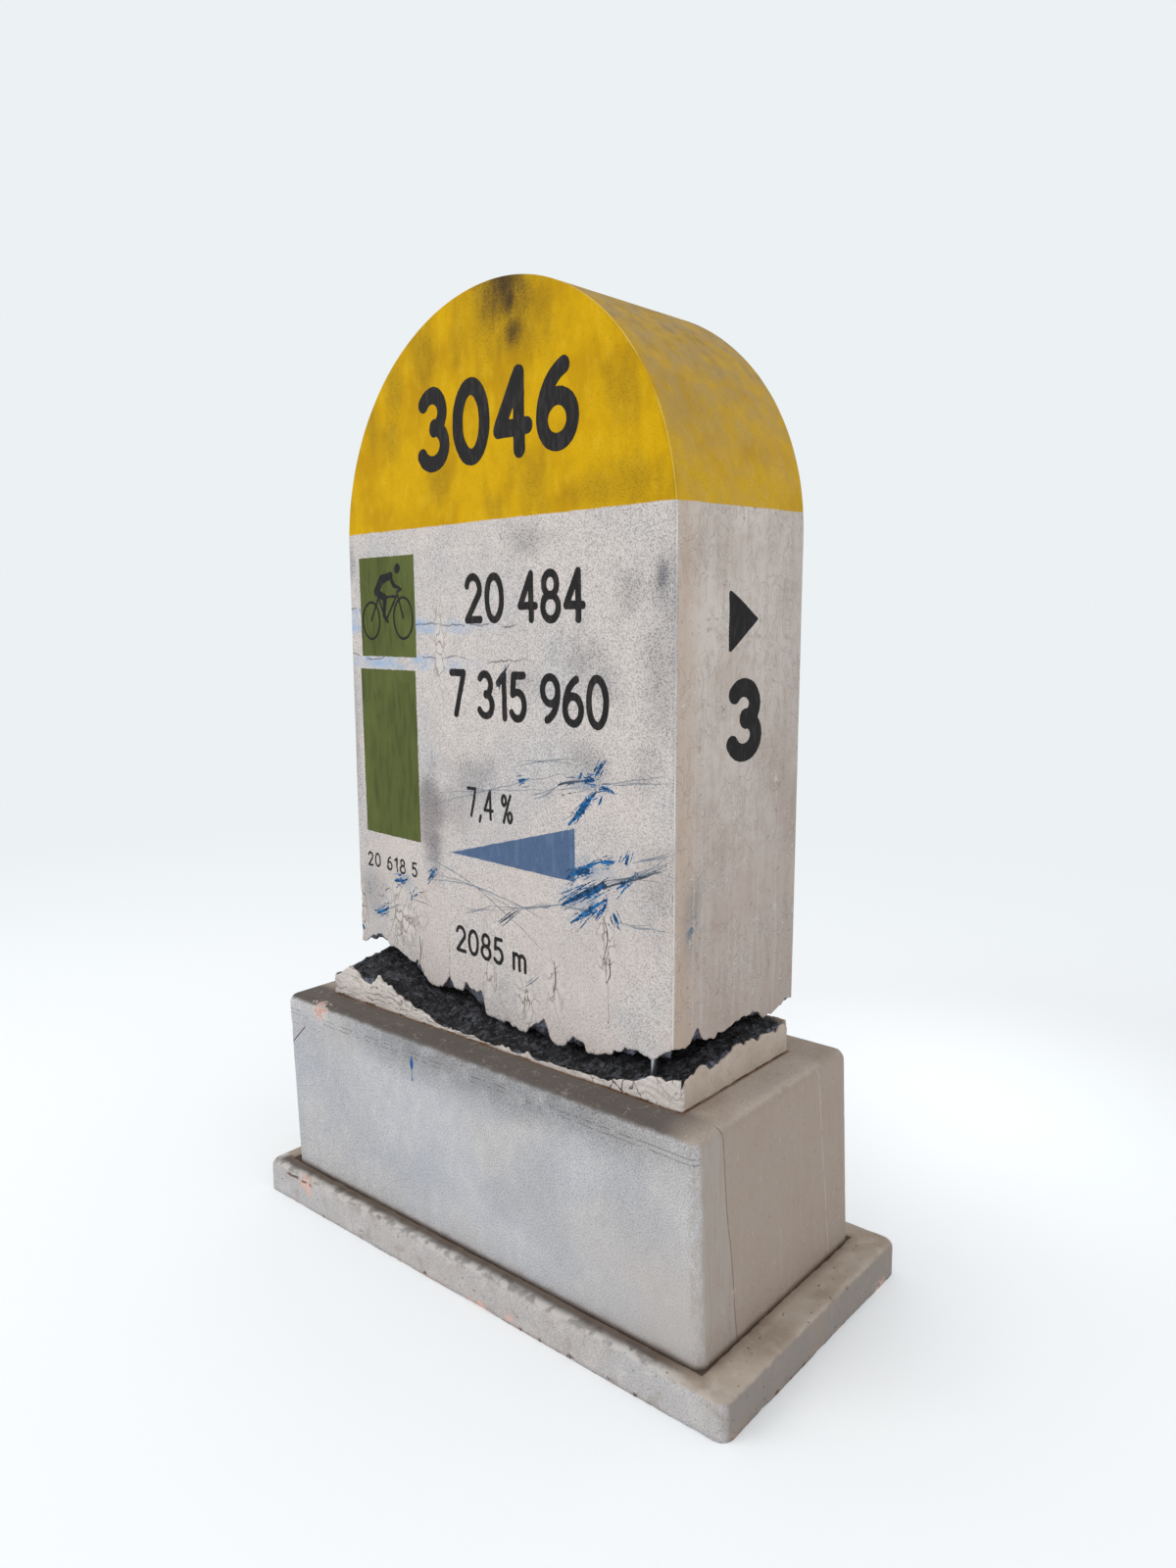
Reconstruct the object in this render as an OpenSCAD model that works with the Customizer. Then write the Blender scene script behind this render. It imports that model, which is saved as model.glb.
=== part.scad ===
// Mountain pass marker post, broken across its foot: a slab plinth, a block pedestal,
// the low stub that stayed on it, and the round-headed upper post, which has turned on
// the steel rods that pin it and stands a finger's width above the break.
// Millimetres. +Z is up and the inscribed front faces -Y. The origin is the middle of the
// plinth's underside.

/* [Plinth] */
// Width of the plinth slab
plinth_w = 526; // [495:1:640]
// Depth of the plinth slab, front to back
plinth_d = 258; // [240:1:340]
// Thickness of the plinth slab
plinth_h = 29; // [20:1:60]
// Radius of the plinth's upright corners
plinth_corner_r = 11; // [8:1:30]
// Radius along the plinth's worn top edge
plinth_edge_r = 6; // [2:0.5:9]

/* [Pedestal] */
// Width of the pedestal at its foot
pedestal_w = 469; // [450:1:485]
// Depth of the pedestal at its foot
pedestal_d = 217; // [205:1:232]
// Height of the pedestal
pedestal_h = 166; // [130:1:240]
// How far the left side leans out from foot to top
pedestal_lean_left = 6; // [0:0.5:8]
// How far the right side leans in from foot to top
pedestal_lean_right = 5; // [0:0.5:8]
// How far the back leans in from foot to top
pedestal_lean_back = 3; // [0:0.5:10]
// Radius of the pedestal's upright and top edges
pedestal_edge_r = 9; // [4:1:16]
// Sideways place of the pedestal on the plinth, to the right
pedestal_x = -2.5; // [-6:0.5:6]
// Place of the pedestal on the plinth, to the back
pedestal_y = -3.5; // [-6:0.5:4]

/* [Post] */
// Width of the post at its foot
post_w = 402; // [370:1:410]
// Thickness of the post, front to back
post_d = 146; // [130:1:160]
// Height of the post from the pedestal's top to its crown
post_h = 600; // [480:1:800]
// Height of the round head above its springing
arch_h = 192; // [140:1:200]
// How far the crown sits to the right of the foot's middle
arch_shift = 14; // [-20:1:20]
// How far the left side leans in by the springing
left_lean = 6; // [0:1:12]
// How far the right side leans out by the springing
right_lean = 3; // [0:1:8]
// Sideways place of the post on the pedestal's middle
post_x = -5.5; // [-12:0.5:6]
// Place of the post on the pedestal's middle, to the back
post_y = -5; // [-8:0.5:6]

/* [Break] */
// Turn of the upper post on its stub, left end to the back, in degrees
twist = 5.4; // [0:0.1:6]
// Slip of the upper post to the left
slip_left = 4.3; // [0:0.1:8]
// Slip of the upper post to the back
slip_back = 22; // [0:0.5:24]
// Least space between the two faces of the break
seat_gap = 1.6; // [1:0.1:4]
// Lift of the break's upper face at its front left
lift_front_left = 16; // [10:0.5:24]
// Lift of the break's upper face at its front right
lift_front_right = 9; // [6:0.5:20]
// Lift of the break's upper face at its back left
lift_back_left = 9; // [4:0.5:20]
// Lift of the break's upper face at its back right, where the halves all but touch
lift_back_right = 2; // [1:0.5:10]
// Width of the chipped rim inside the walls of the post
rim_w = 13; // [8:1:20]
// Size of the crumbs on the break
crumb = 1.5; // [0:0.1:2]
// Height of the torn step behind the front of the break
ledge_h = 3.5; // [0:0.5:6]

/* [Rods] */
// Diameter of the steel rods that pin the upper post
rod_d = 5; // [4:0.5:8]
// Play between a rod and its hole, all round
rod_play = 0.1; // [0.05:0.05:0.3]
// Length of a rod below the pedestal's top
rod_down = 110; // [60:1:120]
// Length of a rod above the pedestal's top
rod_up = 140; // [90:1:220]
// Front rod, from the post's right side
front_rod_from_right = 36; // [25:1:60]
// Front rod, from the post's front
front_rod_from_front = 15; // [12:0.5:30]
// Left rod, from the post's left side
left_rod_from_left = 60; // [40:1:120]
// Left rod, from the post's back
left_rod_from_back = 60; // [35:1:90]
// Back rod, from the post's right side
back_rod_from_right = 95; // [40:1:160]
// Back rod, from the post's back
back_rod_from_back = 35; // [25:1:60]

/* [Hidden] */
$fn = 64;

pedestal_z = plinth_h;
post_z = plinth_h + pedestal_h;
post_place = [pedestal_x + post_x, pedestal_y + post_y, post_z];
spring_z = post_h - arch_h;

coat_pale = [0.80, 0.76, 0.73];
coat_taupe = [0.62, 0.57, 0.53];
coat_dusty = [0.72, 0.71, 0.70];
steel = [0.62, 0.64, 0.66];

// The break is drawn as heights above the pedestal's top. A broken line holds pairs of
// [share of the wall's length, height]: the front and back walls run from left to right,
// and the side walls from front to back.
stub_front = [[0, 16], [0.045, 27.5], [0.066, 30.5], [0.09, 27.5], [0.11, 18.5], [0.147, 19],
              [0.153, 30], [0.197, 23.5], [0.232, 19], [0.276, 14.5], [0.36, 2], [0.427, 3],
              [0.547, 1.5], [0.653, 1.5], [0.77, 4.5], [0.817, 4], [0.861, 9], [0.92, 17],
              [0.952, 20.5], [0.96, 18.5], [1, 24]];
stub_right = [[0, 24], [0.08, 22], [0.157, 29.5], [0.405, 22.5], [0.488, 30], [0.554, 25.5],
              [0.693, 28.5], [0.754, 22], [0.854, 27], [1, 26]];
stub_left = [[0, 16], [0.11, 21.5], [0.23, 27], [0.34, 30.5], [0.75, 33], [1, 29]];
stub_back = [[0, 29], [0.2, 32], [0.45, 23], [0.7, 28], [1, 26]];

upper_front = [[0, 38], [0.085, 53], [0.1, 51], [0.122, 45.5], [0.182, 40], [0.238, 36.5],
               [0.271, 23.5], [0.316, 18], [0.346, 28], [0.41, 27.5], [0.47, 24], [0.476, 13],
               [0.553, 13], [0.62, 11.5], [0.662, 25], [0.676, 14.5], [0.706, 12.5],
               [0.748, 18.5], [0.788, 15.5], [0.877, 24.5], [0.902, 33.5], [0.954, 29.5],
               [0.98, 38], [1, 43]];
upper_right = [[0, 43], [0.138, 39], [0.183, 46], [0.23, 39.5], [0.42, 39.5], [0.537, 47.5],
               [0.632, 44], [0.647, 36.5], [0.745, 36.5], [0.925, 44.5], [1, 46]];
upper_left = [[0, 38], [0.3, 44], [0.6, 47], [1, 45]];
upper_back = [[0, 45], [0.25, 49], [0.5, 44], [0.8, 42], [1, 46]];

// The torn core inside the rim: one line just behind the front wall, one at the back.
core_front = [[0, 20], [0.08, 29], [0.17, 27], [0.28, 12], [0.4, 8], [0.6, 7], [0.75, 8.5],
              [0.9, 17], [1, 24]];
core_back = [[0, 33], [0.3, 28], [0.6, 24], [0.8, 29], [1, 33]];
core_rise_share = 0.75;
least_stub_h = 1.2;

// The grid that carries the break: even columns across the width, rows that crowd
// towards the front and back walls, and one row or column past each wall.
break_columns = 80;
break_rows = 14;
past_wall = 5;
below_break = 20;
above_break = 70;

function mix(a, b, t) = a + (b - a) * t;
function ease(t) = let (c = max(0, min(1, t))) c * c * (3 - 2 * c);
function near_wall(gap) = 1 - ease(gap / rim_w);
function share_x(x) = max(0, min(1, x / post_w + 0.5));
function share_y(y) = max(0, min(1, y / post_d + 0.5));

function lumps(x, y) =
    crumb * (sin(9.1 * x + 4.3 * y) * sin(12.7 * y - 3.1 * x) + 0.6 * sin(23 * x + 40)
    * cos(19 * y - 11 * x)) / 1.6;

function ledge(u, v) = ledge_h * ease((v - 0.13 - 0.035 * sin(900 * u)) / 0.05);

// Height of the torn core at a place in the post's own frame
function core(x, y) =
    let (u = share_x(x), v = share_y(y))
    mix(lookup(u, core_front), lookup(u, core_back), ease(v / core_rise_share))
    + ledge(u, v) + lumps(x, y);

// The core drawn down or up to the four walls' broken lines near each wall
function rimmed(x, y, inner, front, back, left, right) =
    let (
        u = share_x(x),
        v = share_y(y),
        f = near_wall(v * post_d),
        b = near_wall((1 - v) * post_d),
        l = near_wall(u * post_w),
        r = near_wall((1 - u) * post_w),
        total = f + b + l + r,
        line = f * lookup(u, front) + b * lookup(u, back)
             + l * lookup(v, left) + r * lookup(v, right)
    )
    total <= 0 ? inner : mix(inner, line / total, 1 - (1 - f) * (1 - b) * (1 - l) * (1 - r));

// Top of the stub
function stub_top(x, y) =
    max(least_stub_h, rimmed(x, y, core(x, y), stub_front, stub_back, stub_left, stub_right));

// A place in the upper post's frame, seen from the stub's
function turned(x, y) = [
    x * cos(twist) + y * sin(twist) - slip_left,
    y * cos(twist) - x * sin(twist) + slip_back
];

function lift(u, v) =
    mix(mix(lift_front_left, lift_front_right, u), mix(lift_back_left, lift_back_right, u), v);

// Underside of the upper post
function upper_bottom(x, y) =
    let (
        place = turned(x, y),
        torn = core(x, y) + lift(share_x(x), share_y(y)),
        own = rimmed(x, y, torn, upper_front, upper_back, upper_left, upper_right)
    )
    max(own, stub_top(place.x, place.y) + seat_gap);

columns = [
    -post_w / 2 - past_wall,
    for (i = [0:break_columns]) post_w * (i / break_columns - 0.5),
    post_w / 2 + past_wall
];
rows = [
    -post_d / 2 - past_wall,
    for (j = [0:break_rows]) -post_d / 2 * cos(180 * j / break_rows),
    post_d / 2 + past_wall
];

// Everything below one face of the break. heights holds one row of values after another.
module below_surface(heights) {
    nx = len(columns);
    ny = len(rows);
    grid = [for (j = [0:ny - 1]) for (i = [0:nx - 1]) [columns[i], rows[j], heights[j * nx + i]]];
    low = -below_break;
    feet = [[columns[0], rows[0], low], [columns[nx - 1], rows[0], low],
            [columns[nx - 1], rows[ny - 1], low], [columns[0], rows[ny - 1], low]];
    n = nx * ny;
    top = [
        for (j = [0:ny - 2]) for (i = [0:nx - 2])
            let (a = j * nx + i)
            each [[a, a + nx, a + nx + 1], [a, a + nx + 1, a + 1]]
    ];
    front = [n, for (i = [0:nx - 1]) i, n + 1];
    right = [n + 1, for (j = [0:ny - 1]) j * nx + nx - 1, n + 2];
    back = [n + 2, for (i = [nx - 1:-1:0]) (ny - 1) * nx + i, n + 3];
    left = [n + 3, for (j = [ny - 1:-1:0]) j * nx, n];
    polyhedron(
        points = concat(grid, feet),
        faces = concat(top, [front, right, back, left, [n, n + 1, n + 2, n + 3]]),
        convexity = 6
    );
}

// A block with rounded upright corners and a rounded top edge. Towards the top its left
// side may lean out, and its right side and its back may lean in.
module worn_block(w, d, h, corner_r, edge_r, lean_left = 0, lean_right = 0, lean_back = 0) {
    foot_x = w / 2 - corner_r;
    foot_y = d / 2 - corner_r;
    hull() {
        for (x = [-foot_x, foot_x], y = [-foot_y, foot_y])
            translate([x, y, 0]) cylinder(r = corner_r, h = 1, $fn = 32);
        for (x = [-foot_x - lean_left, foot_x - lean_right], y = [-foot_y, foot_y - lean_back])
            translate([x, y, h - edge_r]) rotate_extrude($fn = 32) worn_edge(corner_r, edge_r);
    }
}

// Half section of a worn corner: a quarter round on the outside of a flat top
module worn_edge(corner_r, edge_r) {
    intersection() {
        union() {
            translate([corner_r - edge_r, 0]) circle(edge_r, $fn = 32);
            square([corner_r - edge_r, edge_r]);
        }
        square([corner_r, edge_r]);
    }
}

// Half of the head, from the springing to the crown, as a quarter of an ellipse
function head(half_w, from, to) =
    let (steps = 24)
    [for (i = [0:steps]) let (a = mix(from, to, i / steps))
        [arch_shift + half_w * cos(a), spring_z + arch_h * sin(a)]];

module post_outline() {
    right_half = post_w / 2 + right_lean - arch_shift;
    left_half = post_w / 2 - left_lean + arch_shift;
    crown_left = head(left_half, 90, 180);
    polygon(concat(
        [[-post_w / 2, 0], [post_w / 2, 0]],
        head(right_half, 0, 90),
        [for (i = [1:len(crown_left) - 1]) crown_left[i]]
    ));
}

front_rod_at = [post_w / 2 - front_rod_from_right, -post_d / 2 + front_rod_from_front];
left_rod_at = [-post_w / 2 + left_rod_from_left, post_d / 2 - left_rod_from_back];
back_rod_at = [post_w / 2 - back_rod_from_right, post_d / 2 - back_rod_from_back];

module rod(at, play = 0) {
    translate(post_place + [at.x, at.y, -rod_down - play])
        cylinder(r = rod_d / 2 + play, h = rod_down + rod_up + 2 * play);
}

module rod_holes() {
    rod(front_rod_at, rod_play);
    rod(left_rod_at, rod_play);
    rod(back_rod_at, rod_play);
}

module plinth() {
    color(coat_taupe) worn_block(plinth_w, plinth_d, plinth_h, plinth_corner_r, plinth_edge_r);
}

module pedestal() {
    color(coat_dusty) difference() {
        translate([pedestal_x, pedestal_y, pedestal_z])
            worn_block(pedestal_w, pedestal_d, pedestal_h, pedestal_edge_r, pedestal_edge_r,
                       pedestal_lean_left, pedestal_lean_right, pedestal_lean_back);
        rod_holes();
    }
}

module post_stub() {
    heights = [for (y = rows, x = columns) stub_top(x, y)];
    color(coat_pale) difference() {
        translate(post_place) intersection() {
            translate([-post_w / 2, -post_d / 2, 0]) cube([post_w, post_d, above_break]);
            below_surface(heights);
        }
        rod_holes();
    }
}

module upper_post() {
    heights = [for (y = rows, x = columns) upper_bottom(x, y)];
    color(coat_pale) difference() {
        translate(post_place + [-slip_left, slip_back, 0]) rotate([0, 0, -twist]) difference() {
            translate([0, post_d / 2, 0]) rotate([90, 0, 0]) linear_extrude(post_d) post_outline();
            below_surface(heights);
        }
        rod_holes();
    }
}

module steel_rod_front() {
    color(steel) rod(front_rod_at);
}

module steel_rod_left() {
    color(steel) rod(left_rod_at);
}

module steel_rod_back() {
    color(steel) rod(back_rod_at);
}

plinth();
pedestal();
post_stub();
upper_post();
steel_rod_front();
steel_rod_left();
steel_rod_back();
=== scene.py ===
"""Looks of a broken mountain pass marker post: a painted, round-headed post on a pedestal and a plinth."""
import math

import bmesh
import bpy
import numpy as np
from mathutils import Matrix, Vector
from mathutils.bvhtree import BVHTree


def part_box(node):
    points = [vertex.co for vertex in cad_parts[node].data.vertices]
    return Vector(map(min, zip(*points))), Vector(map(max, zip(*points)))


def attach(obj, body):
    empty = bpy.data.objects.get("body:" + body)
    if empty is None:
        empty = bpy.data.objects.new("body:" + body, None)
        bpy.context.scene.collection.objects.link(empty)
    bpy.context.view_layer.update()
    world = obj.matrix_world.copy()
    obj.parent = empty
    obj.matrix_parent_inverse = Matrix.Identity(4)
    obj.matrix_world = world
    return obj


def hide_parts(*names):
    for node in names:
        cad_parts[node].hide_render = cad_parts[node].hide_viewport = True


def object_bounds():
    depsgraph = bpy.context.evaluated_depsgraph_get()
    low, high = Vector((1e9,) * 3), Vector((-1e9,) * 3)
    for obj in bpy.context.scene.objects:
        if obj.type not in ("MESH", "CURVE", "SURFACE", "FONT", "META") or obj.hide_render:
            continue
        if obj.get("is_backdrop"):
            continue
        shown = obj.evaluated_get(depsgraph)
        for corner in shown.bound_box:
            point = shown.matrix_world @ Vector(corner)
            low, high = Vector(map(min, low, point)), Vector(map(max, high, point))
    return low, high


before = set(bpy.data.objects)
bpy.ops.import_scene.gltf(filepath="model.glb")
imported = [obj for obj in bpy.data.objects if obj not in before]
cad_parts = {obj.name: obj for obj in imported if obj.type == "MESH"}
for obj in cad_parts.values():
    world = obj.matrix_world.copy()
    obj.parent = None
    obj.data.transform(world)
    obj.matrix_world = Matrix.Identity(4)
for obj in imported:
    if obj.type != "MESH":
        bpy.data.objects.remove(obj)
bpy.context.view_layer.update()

# Sizes and places are in millimetres. Meshes, the frame and the stage are in metres
MM = 0.001

# Sizes that the frame gives, and those that say how the post stands in it
PLINTH_LOW, PLINTH_HIGH = (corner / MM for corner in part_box("plinth"))
PEDESTAL_LOW, PEDESTAL_HIGH = (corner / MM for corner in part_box("pedestal"))
STUB_LOW, STUB_HIGH = (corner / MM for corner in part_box("post_stub"))
POST_W = STUB_HIGH.x - STUB_LOW.x
POST_D = STUB_HIGH.y - STUB_LOW.y
HALF_W = POST_W / 2
HALF_D = POST_D / 2
POST_Z = PEDESTAL_HIGH.z
CROWN_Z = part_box("upper_post")[1].z / MM - POST_Z
ARCH_H = 192
SPRING_Z = CROWN_Z - ARCH_H
ARCH_SHIFT = 14
LEFT_LEAN = 6
RIGHT_LEAN = 3
ROOF_FALL = 4
CAP_Z = 66
TWIST = math.radians(-5.4)
SLIP = Vector((-4.3, 22, 0))
# How far the pedestal's left side, right side and back stand in, each at the foot and at the top
PEDESTAL_LEANS = ((6, 0), (0, 5), (0, 3))
NO_LEANS = ((0, 0), (0, 0), (0, 0))


def middle_of(low, high):
    """The middle of a box's underside, where a piece has its origin."""
    return Vector(((low.x + high.x) / 2, (low.y + high.y) / 2, low.z))


STUB_PLACE = middle_of(STUB_LOW, STUB_HIGH)
STUB_PLACE.z = POST_Z
STUB_FRAME = Matrix.Translation(STUB_PLACE * MM)
UPPER_FRAME = Matrix.Translation((STUB_PLACE + SLIP) * MM) @ Matrix.Rotation(TWIST, 4, "Z")


# Noise

def lattice(ix, iy, iz, seed):
    h = (ix * 374761393 + iy * 668265263 + iz * 2147483647 + seed * 1274126177) & 0xFFFFFFFF
    h = ((h ^ (h >> 13)) * 1274126177) & 0xFFFFFFFF
    h = ((h ^ (h >> 16)) * 2246822519) & 0xFFFFFFFF
    return ((h ^ (h >> 15)) & 0xFFFFFF) / float(0xFFFFFF)


def noise(points, wave, seed=0):
    """Smooth value noise from -1 to 1 at points (N, 3). wave is its wavelength."""
    q = np.asarray(points, float) / wave
    i = np.floor(q).astype(np.int64)
    f = q - i
    f = f * f * (3 - 2 * f)
    total = np.zeros(len(q))
    for corner in np.ndindex(2, 2, 2):
        weight = np.prod(np.where(corner, f, 1 - f), axis=1)
        total += weight * lattice(i[:, 0] + corner[0], i[:, 1] + corner[1], i[:, 2] + corner[2], seed)
    return total * 2 - 1


def layered(points, wave, layers, seed=0, gain=0.55):
    """Sum of noise layers, each at half the wavelength of the one before."""
    sizes = gain ** np.arange(layers)
    total = sum(s * noise(points, wave / 2**k, seed + 17 * k) for k, s in enumerate(sizes))
    return total / sizes.sum()


def terraced(points, wave, seed, steps=3):
    """Noise cut into flat steps, as torn board and flaking coat have."""
    return np.floor((noise(points, wave, seed) + 1) * steps / 2 + 0.5) / steps * 2 - 1


def ease(t):
    t = np.clip(t, 0, 1)
    return t * t * (3 - 2 * t)


def level_places(x, y):
    return np.column_stack([x, y, np.zeros(len(x))])


# Meshes

MERGE_GAP = 0.01


def closed_mesh(name, verts, faces, merge):
    """A mesh with its normals outwards, and without doubled vertices where merge is set."""
    mesh = bpy.data.meshes.new(name)
    mesh.from_pydata((verts * MM).tolist(), [], faces)
    bm = bmesh.new()
    bm.from_mesh(mesh)
    if merge:
        bmesh.ops.remove_doubles(bm, verts=bm.verts, dist=MERGE_GAP * MM)
        bmesh.ops.dissolve_degenerate(bm, edges=bm.edges, dist=MERGE_GAP * MM)
    bmesh.ops.recalc_face_normals(bm, faces=bm.faces)
    bm.to_mesh(mesh)
    bm.free()
    return mesh


def add_object(name, data, place):
    added = bpy.data.objects.new(name, data)
    bpy.context.scene.collection.objects.link(added)
    added.matrix_world = place
    return added


def make_object(name, verts, faces, place, smooth=True):
    mesh = closed_mesh(name, verts, faces, True)
    mesh.polygons.foreach_set("use_smooth", [smooth] * len(mesh.polygons))
    return add_object(name, mesh, place)


def dress(piece, material, slot_name, *nodes):
    piece.data.materials.clear()
    piece.data.materials.append(material)
    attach(piece, "root")
    if nodes:
        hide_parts(*nodes)
    return piece


def push_in(verts, faces, amount):
    """The vertices moved inwards along their normals by amount(points, normals)."""
    mesh = closed_mesh("push", verts, faces, False)
    normals = np.zeros(len(verts) * 3)
    mesh.vertex_normals.foreach_get("vector", normals)
    bpy.data.meshes.remove(mesh)
    normals = normals.reshape(-1, 3)
    centre = np.array([0, 0, verts[:, 2].mean()])
    if ((verts - centre) * normals).sum(1).mean() < 0:
        normals = -normals
    return verts - normals * amount(verts, normals)[:, None]


def grid_faces(cells):
    """Faces between neighbouring rows and columns of a grid of vertices."""
    quads = np.stack([cells[:-1, :-1], cells[:-1, 1:], cells[1:, 1:], cells[1:, :-1]], -1)
    return quads.reshape(-1, 4).tolist()


def ring_faces(low, high):
    """Faces between two closed rings of vertices of the same length."""
    turned_low, turned_high = np.roll(low, -1), np.roll(high, -1)
    return np.column_stack([low, turned_low, turned_high, high]).tolist()


# The break, read from the frame's own solids

BREAK_STEP = 1.25
WALL_IN = 0.6
BREAK_CEILING = 60
RAY_START_ABOVE = 100
RAY_START_BELOW = -30


def ray_tree(mesh):
    return BVHTree.FromPolygons([v.co for v in mesh.vertices], [tuple(f.vertices) for f in mesh.polygons])


def break_field(node, place, from_above):
    """Heights of one face of the break over the post's section, in the post's frame."""
    tree = ray_tree(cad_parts[node].data)
    xs = np.linspace(-HALF_W + WALL_IN, HALF_W - WALL_IN, int(POST_W / BREAK_STEP))
    ys = np.linspace(-HALF_D + WALL_IN, HALF_D - WALL_IN, int(POST_D / BREAK_STEP))
    start_z = RAY_START_ABOVE if from_above else RAY_START_BELOW
    direction = Vector((0, 0, -1 if from_above else 1))
    heights = np.full((len(ys), len(xs)), np.nan)
    for j, y in enumerate(ys):
        for i, x in enumerate(xs):
            hit = tree.ray_cast(place @ (Vector((x, y, start_z)) * MM), direction)[0]
            if hit is not None and 0 <= hit.z / MM - POST_Z < BREAK_CEILING:
                heights[j, i] = hit.z / MM - POST_Z
    while np.isnan(heights).any():
        padded = np.pad(heights, 1, constant_values=np.nan)
        around = np.stack([padded[:-2, 1:-1], padded[2:, 1:-1], padded[1:-1, :-2], padded[1:-1, 2:]])
        known = ~np.isnan(around)
        mean = np.where(known, around, 0).sum(0) / np.maximum(known.sum(0), 1)
        fill = np.isnan(heights) & known.any(0)
        heights[fill] = mean[fill]
    return xs, ys, heights


def read_field(field, x, y):
    """The field's height at x, y, drawn between its samples."""
    xs, ys, heights = field
    u = np.clip((np.asarray(x) - xs[0]) / (xs[1] - xs[0]), 0, len(xs) - 1.001)
    v = np.clip((np.asarray(y) - ys[0]) / (ys[1] - ys[0]), 0, len(ys) - 1.001)
    i, j = u.astype(int), v.astype(int)
    a, b = u - i, v - j
    low = heights[j, i] * (1 - a) + heights[j, i + 1] * a
    high = heights[j + 1, i] * (1 - a) + heights[j + 1, i + 1] * a
    return low * (1 - b) + high * b


stub_field = break_field("post_stub", STUB_FRAME, from_above=True)
upper_field = break_field("upper_post", UPPER_FRAME, from_above=False)


# Coat

COAT_T = 1.8
ARRIS_R = 2.2
ARRIS_STEPS = 3
UPPER_SEED = 41
STUB_SEED = 57
RAGGED = 1.8
FLAKE = 1.3
NICK = 9
INSIDE_SEED = 77
# Flakes missing from the upper coat's front edge, each as place, half width and height
LOST_FLAKES = ((-104, 7, 3), (-64, 11, 5), (-25, 16, 8), (20, 6, 3), (57, 14, 8), (102, 12, 5), (150, 8, 4))
# Crumpled patches of the front, each as middle, reach, and its folds' wave, seed, turn and depth
CRUMPLES = (
    ((-138, 283), (26, 36), 3.4, 31, 0.5, 2.4),
    ((-196, 270), (12, 34), 2.6, 33, 0.15, 1.8),
    ((43, 236), (12, 16), 2.4, 35, 1.1, 2.2),
    ((136, 292), (10, 34), 2.6, 37, 0.3, 1.4),
)
WRINKLED_H = 16


def torn_line(field, x, y, seed):
    """Height of the coat's torn edge at a place on the walls, before flakes fell off it."""
    at = level_places(x, y)
    rag = layered(at, 10, 3, seed, 0.7) * RAGGED
    flake = terraced(at, 5, seed + 21) * FLAKE
    nick = np.maximum(0, noise(at, 7, seed + 5) - 0.4) * NICK
    return read_field(field, x, y) + rag + flake + nick * np.sign(noise(at, 30, seed + 9))


def coat_edge(field, x, y, seed):
    """Height of the coat's edge as it is, with the slate layer bare where flakes fell off."""
    edge = torn_line(field, x, y, seed)
    at = level_places(x, y)
    patches = noise(at, 9, seed + 35)
    if seed == STUB_SEED:
        bare_left = ease(-HALF_W + 2 - x) * ease((y + HALF_D - 4) / 6)
        bare_right = (x > HALF_W - 2) * np.maximum(0, patches) * 10
        return edge - bare_left * (5 + 3 * noise(at, 12, seed + 31)) - bare_right
    lost = sum(ease((1 - np.abs(x - middle) / half) * 5) * high for middle, half, high in LOST_FLAKES)
    lost *= 0.85 + 0.35 * terraced(at, 6, seed + 33)
    return edge + np.where(y < -HALF_D + 4, lost, np.maximum(0, patches + 0.05) * 12)


def unevenness(points):
    """How far a hand-made face lies below its true plane."""
    broad = layered(points, 120, 2, 3) * 0.5 + 0.5
    fine = layered(points, 16, 3, 8) * 0.5 + 0.5
    return broad * 0.35 + fine * 0.24


def folds(points, wave, seed, turn):
    """Sharp-backed creases, 0 in the valleys and 1 on the backs, running along turn."""
    along = points[:, 0] * math.cos(turn) + points[:, 2] * math.sin(turn)
    warp = layered(points, 26, 3, seed) * 16
    return np.abs(np.sin((along + warp) / wave))


def crumpled(points):
    """Depth of the creases in the front's crumpled patches, and of the wrinkles above the break."""
    x, z = points[:, 0], points[:, 2] + POST_Z
    above = read_field(upper_field, x, points[:, 1]) + WRINKLED_H - points[:, 2]
    depth = ease(above / WRINKLED_H) * (1 - folds(points, 3.2, 39, 0.2)) * 0.5
    for middle, reach, wave, seed, turn, most in CRUMPLES:
        patch = np.exp(-(((x - middle[0]) / reach[0]) ** 2) - ((z - middle[1]) / reach[1]) ** 2)
        depth += patch * (1 - folds(points, wave, seed, turn)) * most
    return depth * (points[:, 1] < -HALF_D + 6)


def wall_rows(low, high):
    """Heights of the walls' rows: close together over the break and wider above."""
    fine, coarse, growth, fine_reach = 1.6, 4, 1.1, 95
    rows = [low]
    step = fine
    while rows[-1] < high - 1.2 * step:
        rows.append(rows[-1] + step)
        if rows[-1] > low + fine_reach:
            step = min(step * growth, coarse)
    return np.array(rows + [high])


def depth_profile(step):
    """Pairs of outward offset and y across the post's thickness, with rounded arrises."""
    turn = np.linspace(0, math.pi / 2, ARRIS_STEPS + 1)
    front = [(-ARRIS_R + ARRIS_R * math.sin(t), -HALF_D + ARRIS_R - ARRIS_R * math.cos(t)) for t in turn]
    count = int((POST_D - 2 * ARRIS_R) / step)
    flat = [(0.0, y) for y in np.linspace(-HALF_D + ARRIS_R, HALF_D - ARRIS_R, count + 1)[1:-1]]
    back = [(o, -y) for o, y in reversed(front)]
    return np.array(front + flat + back)


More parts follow.
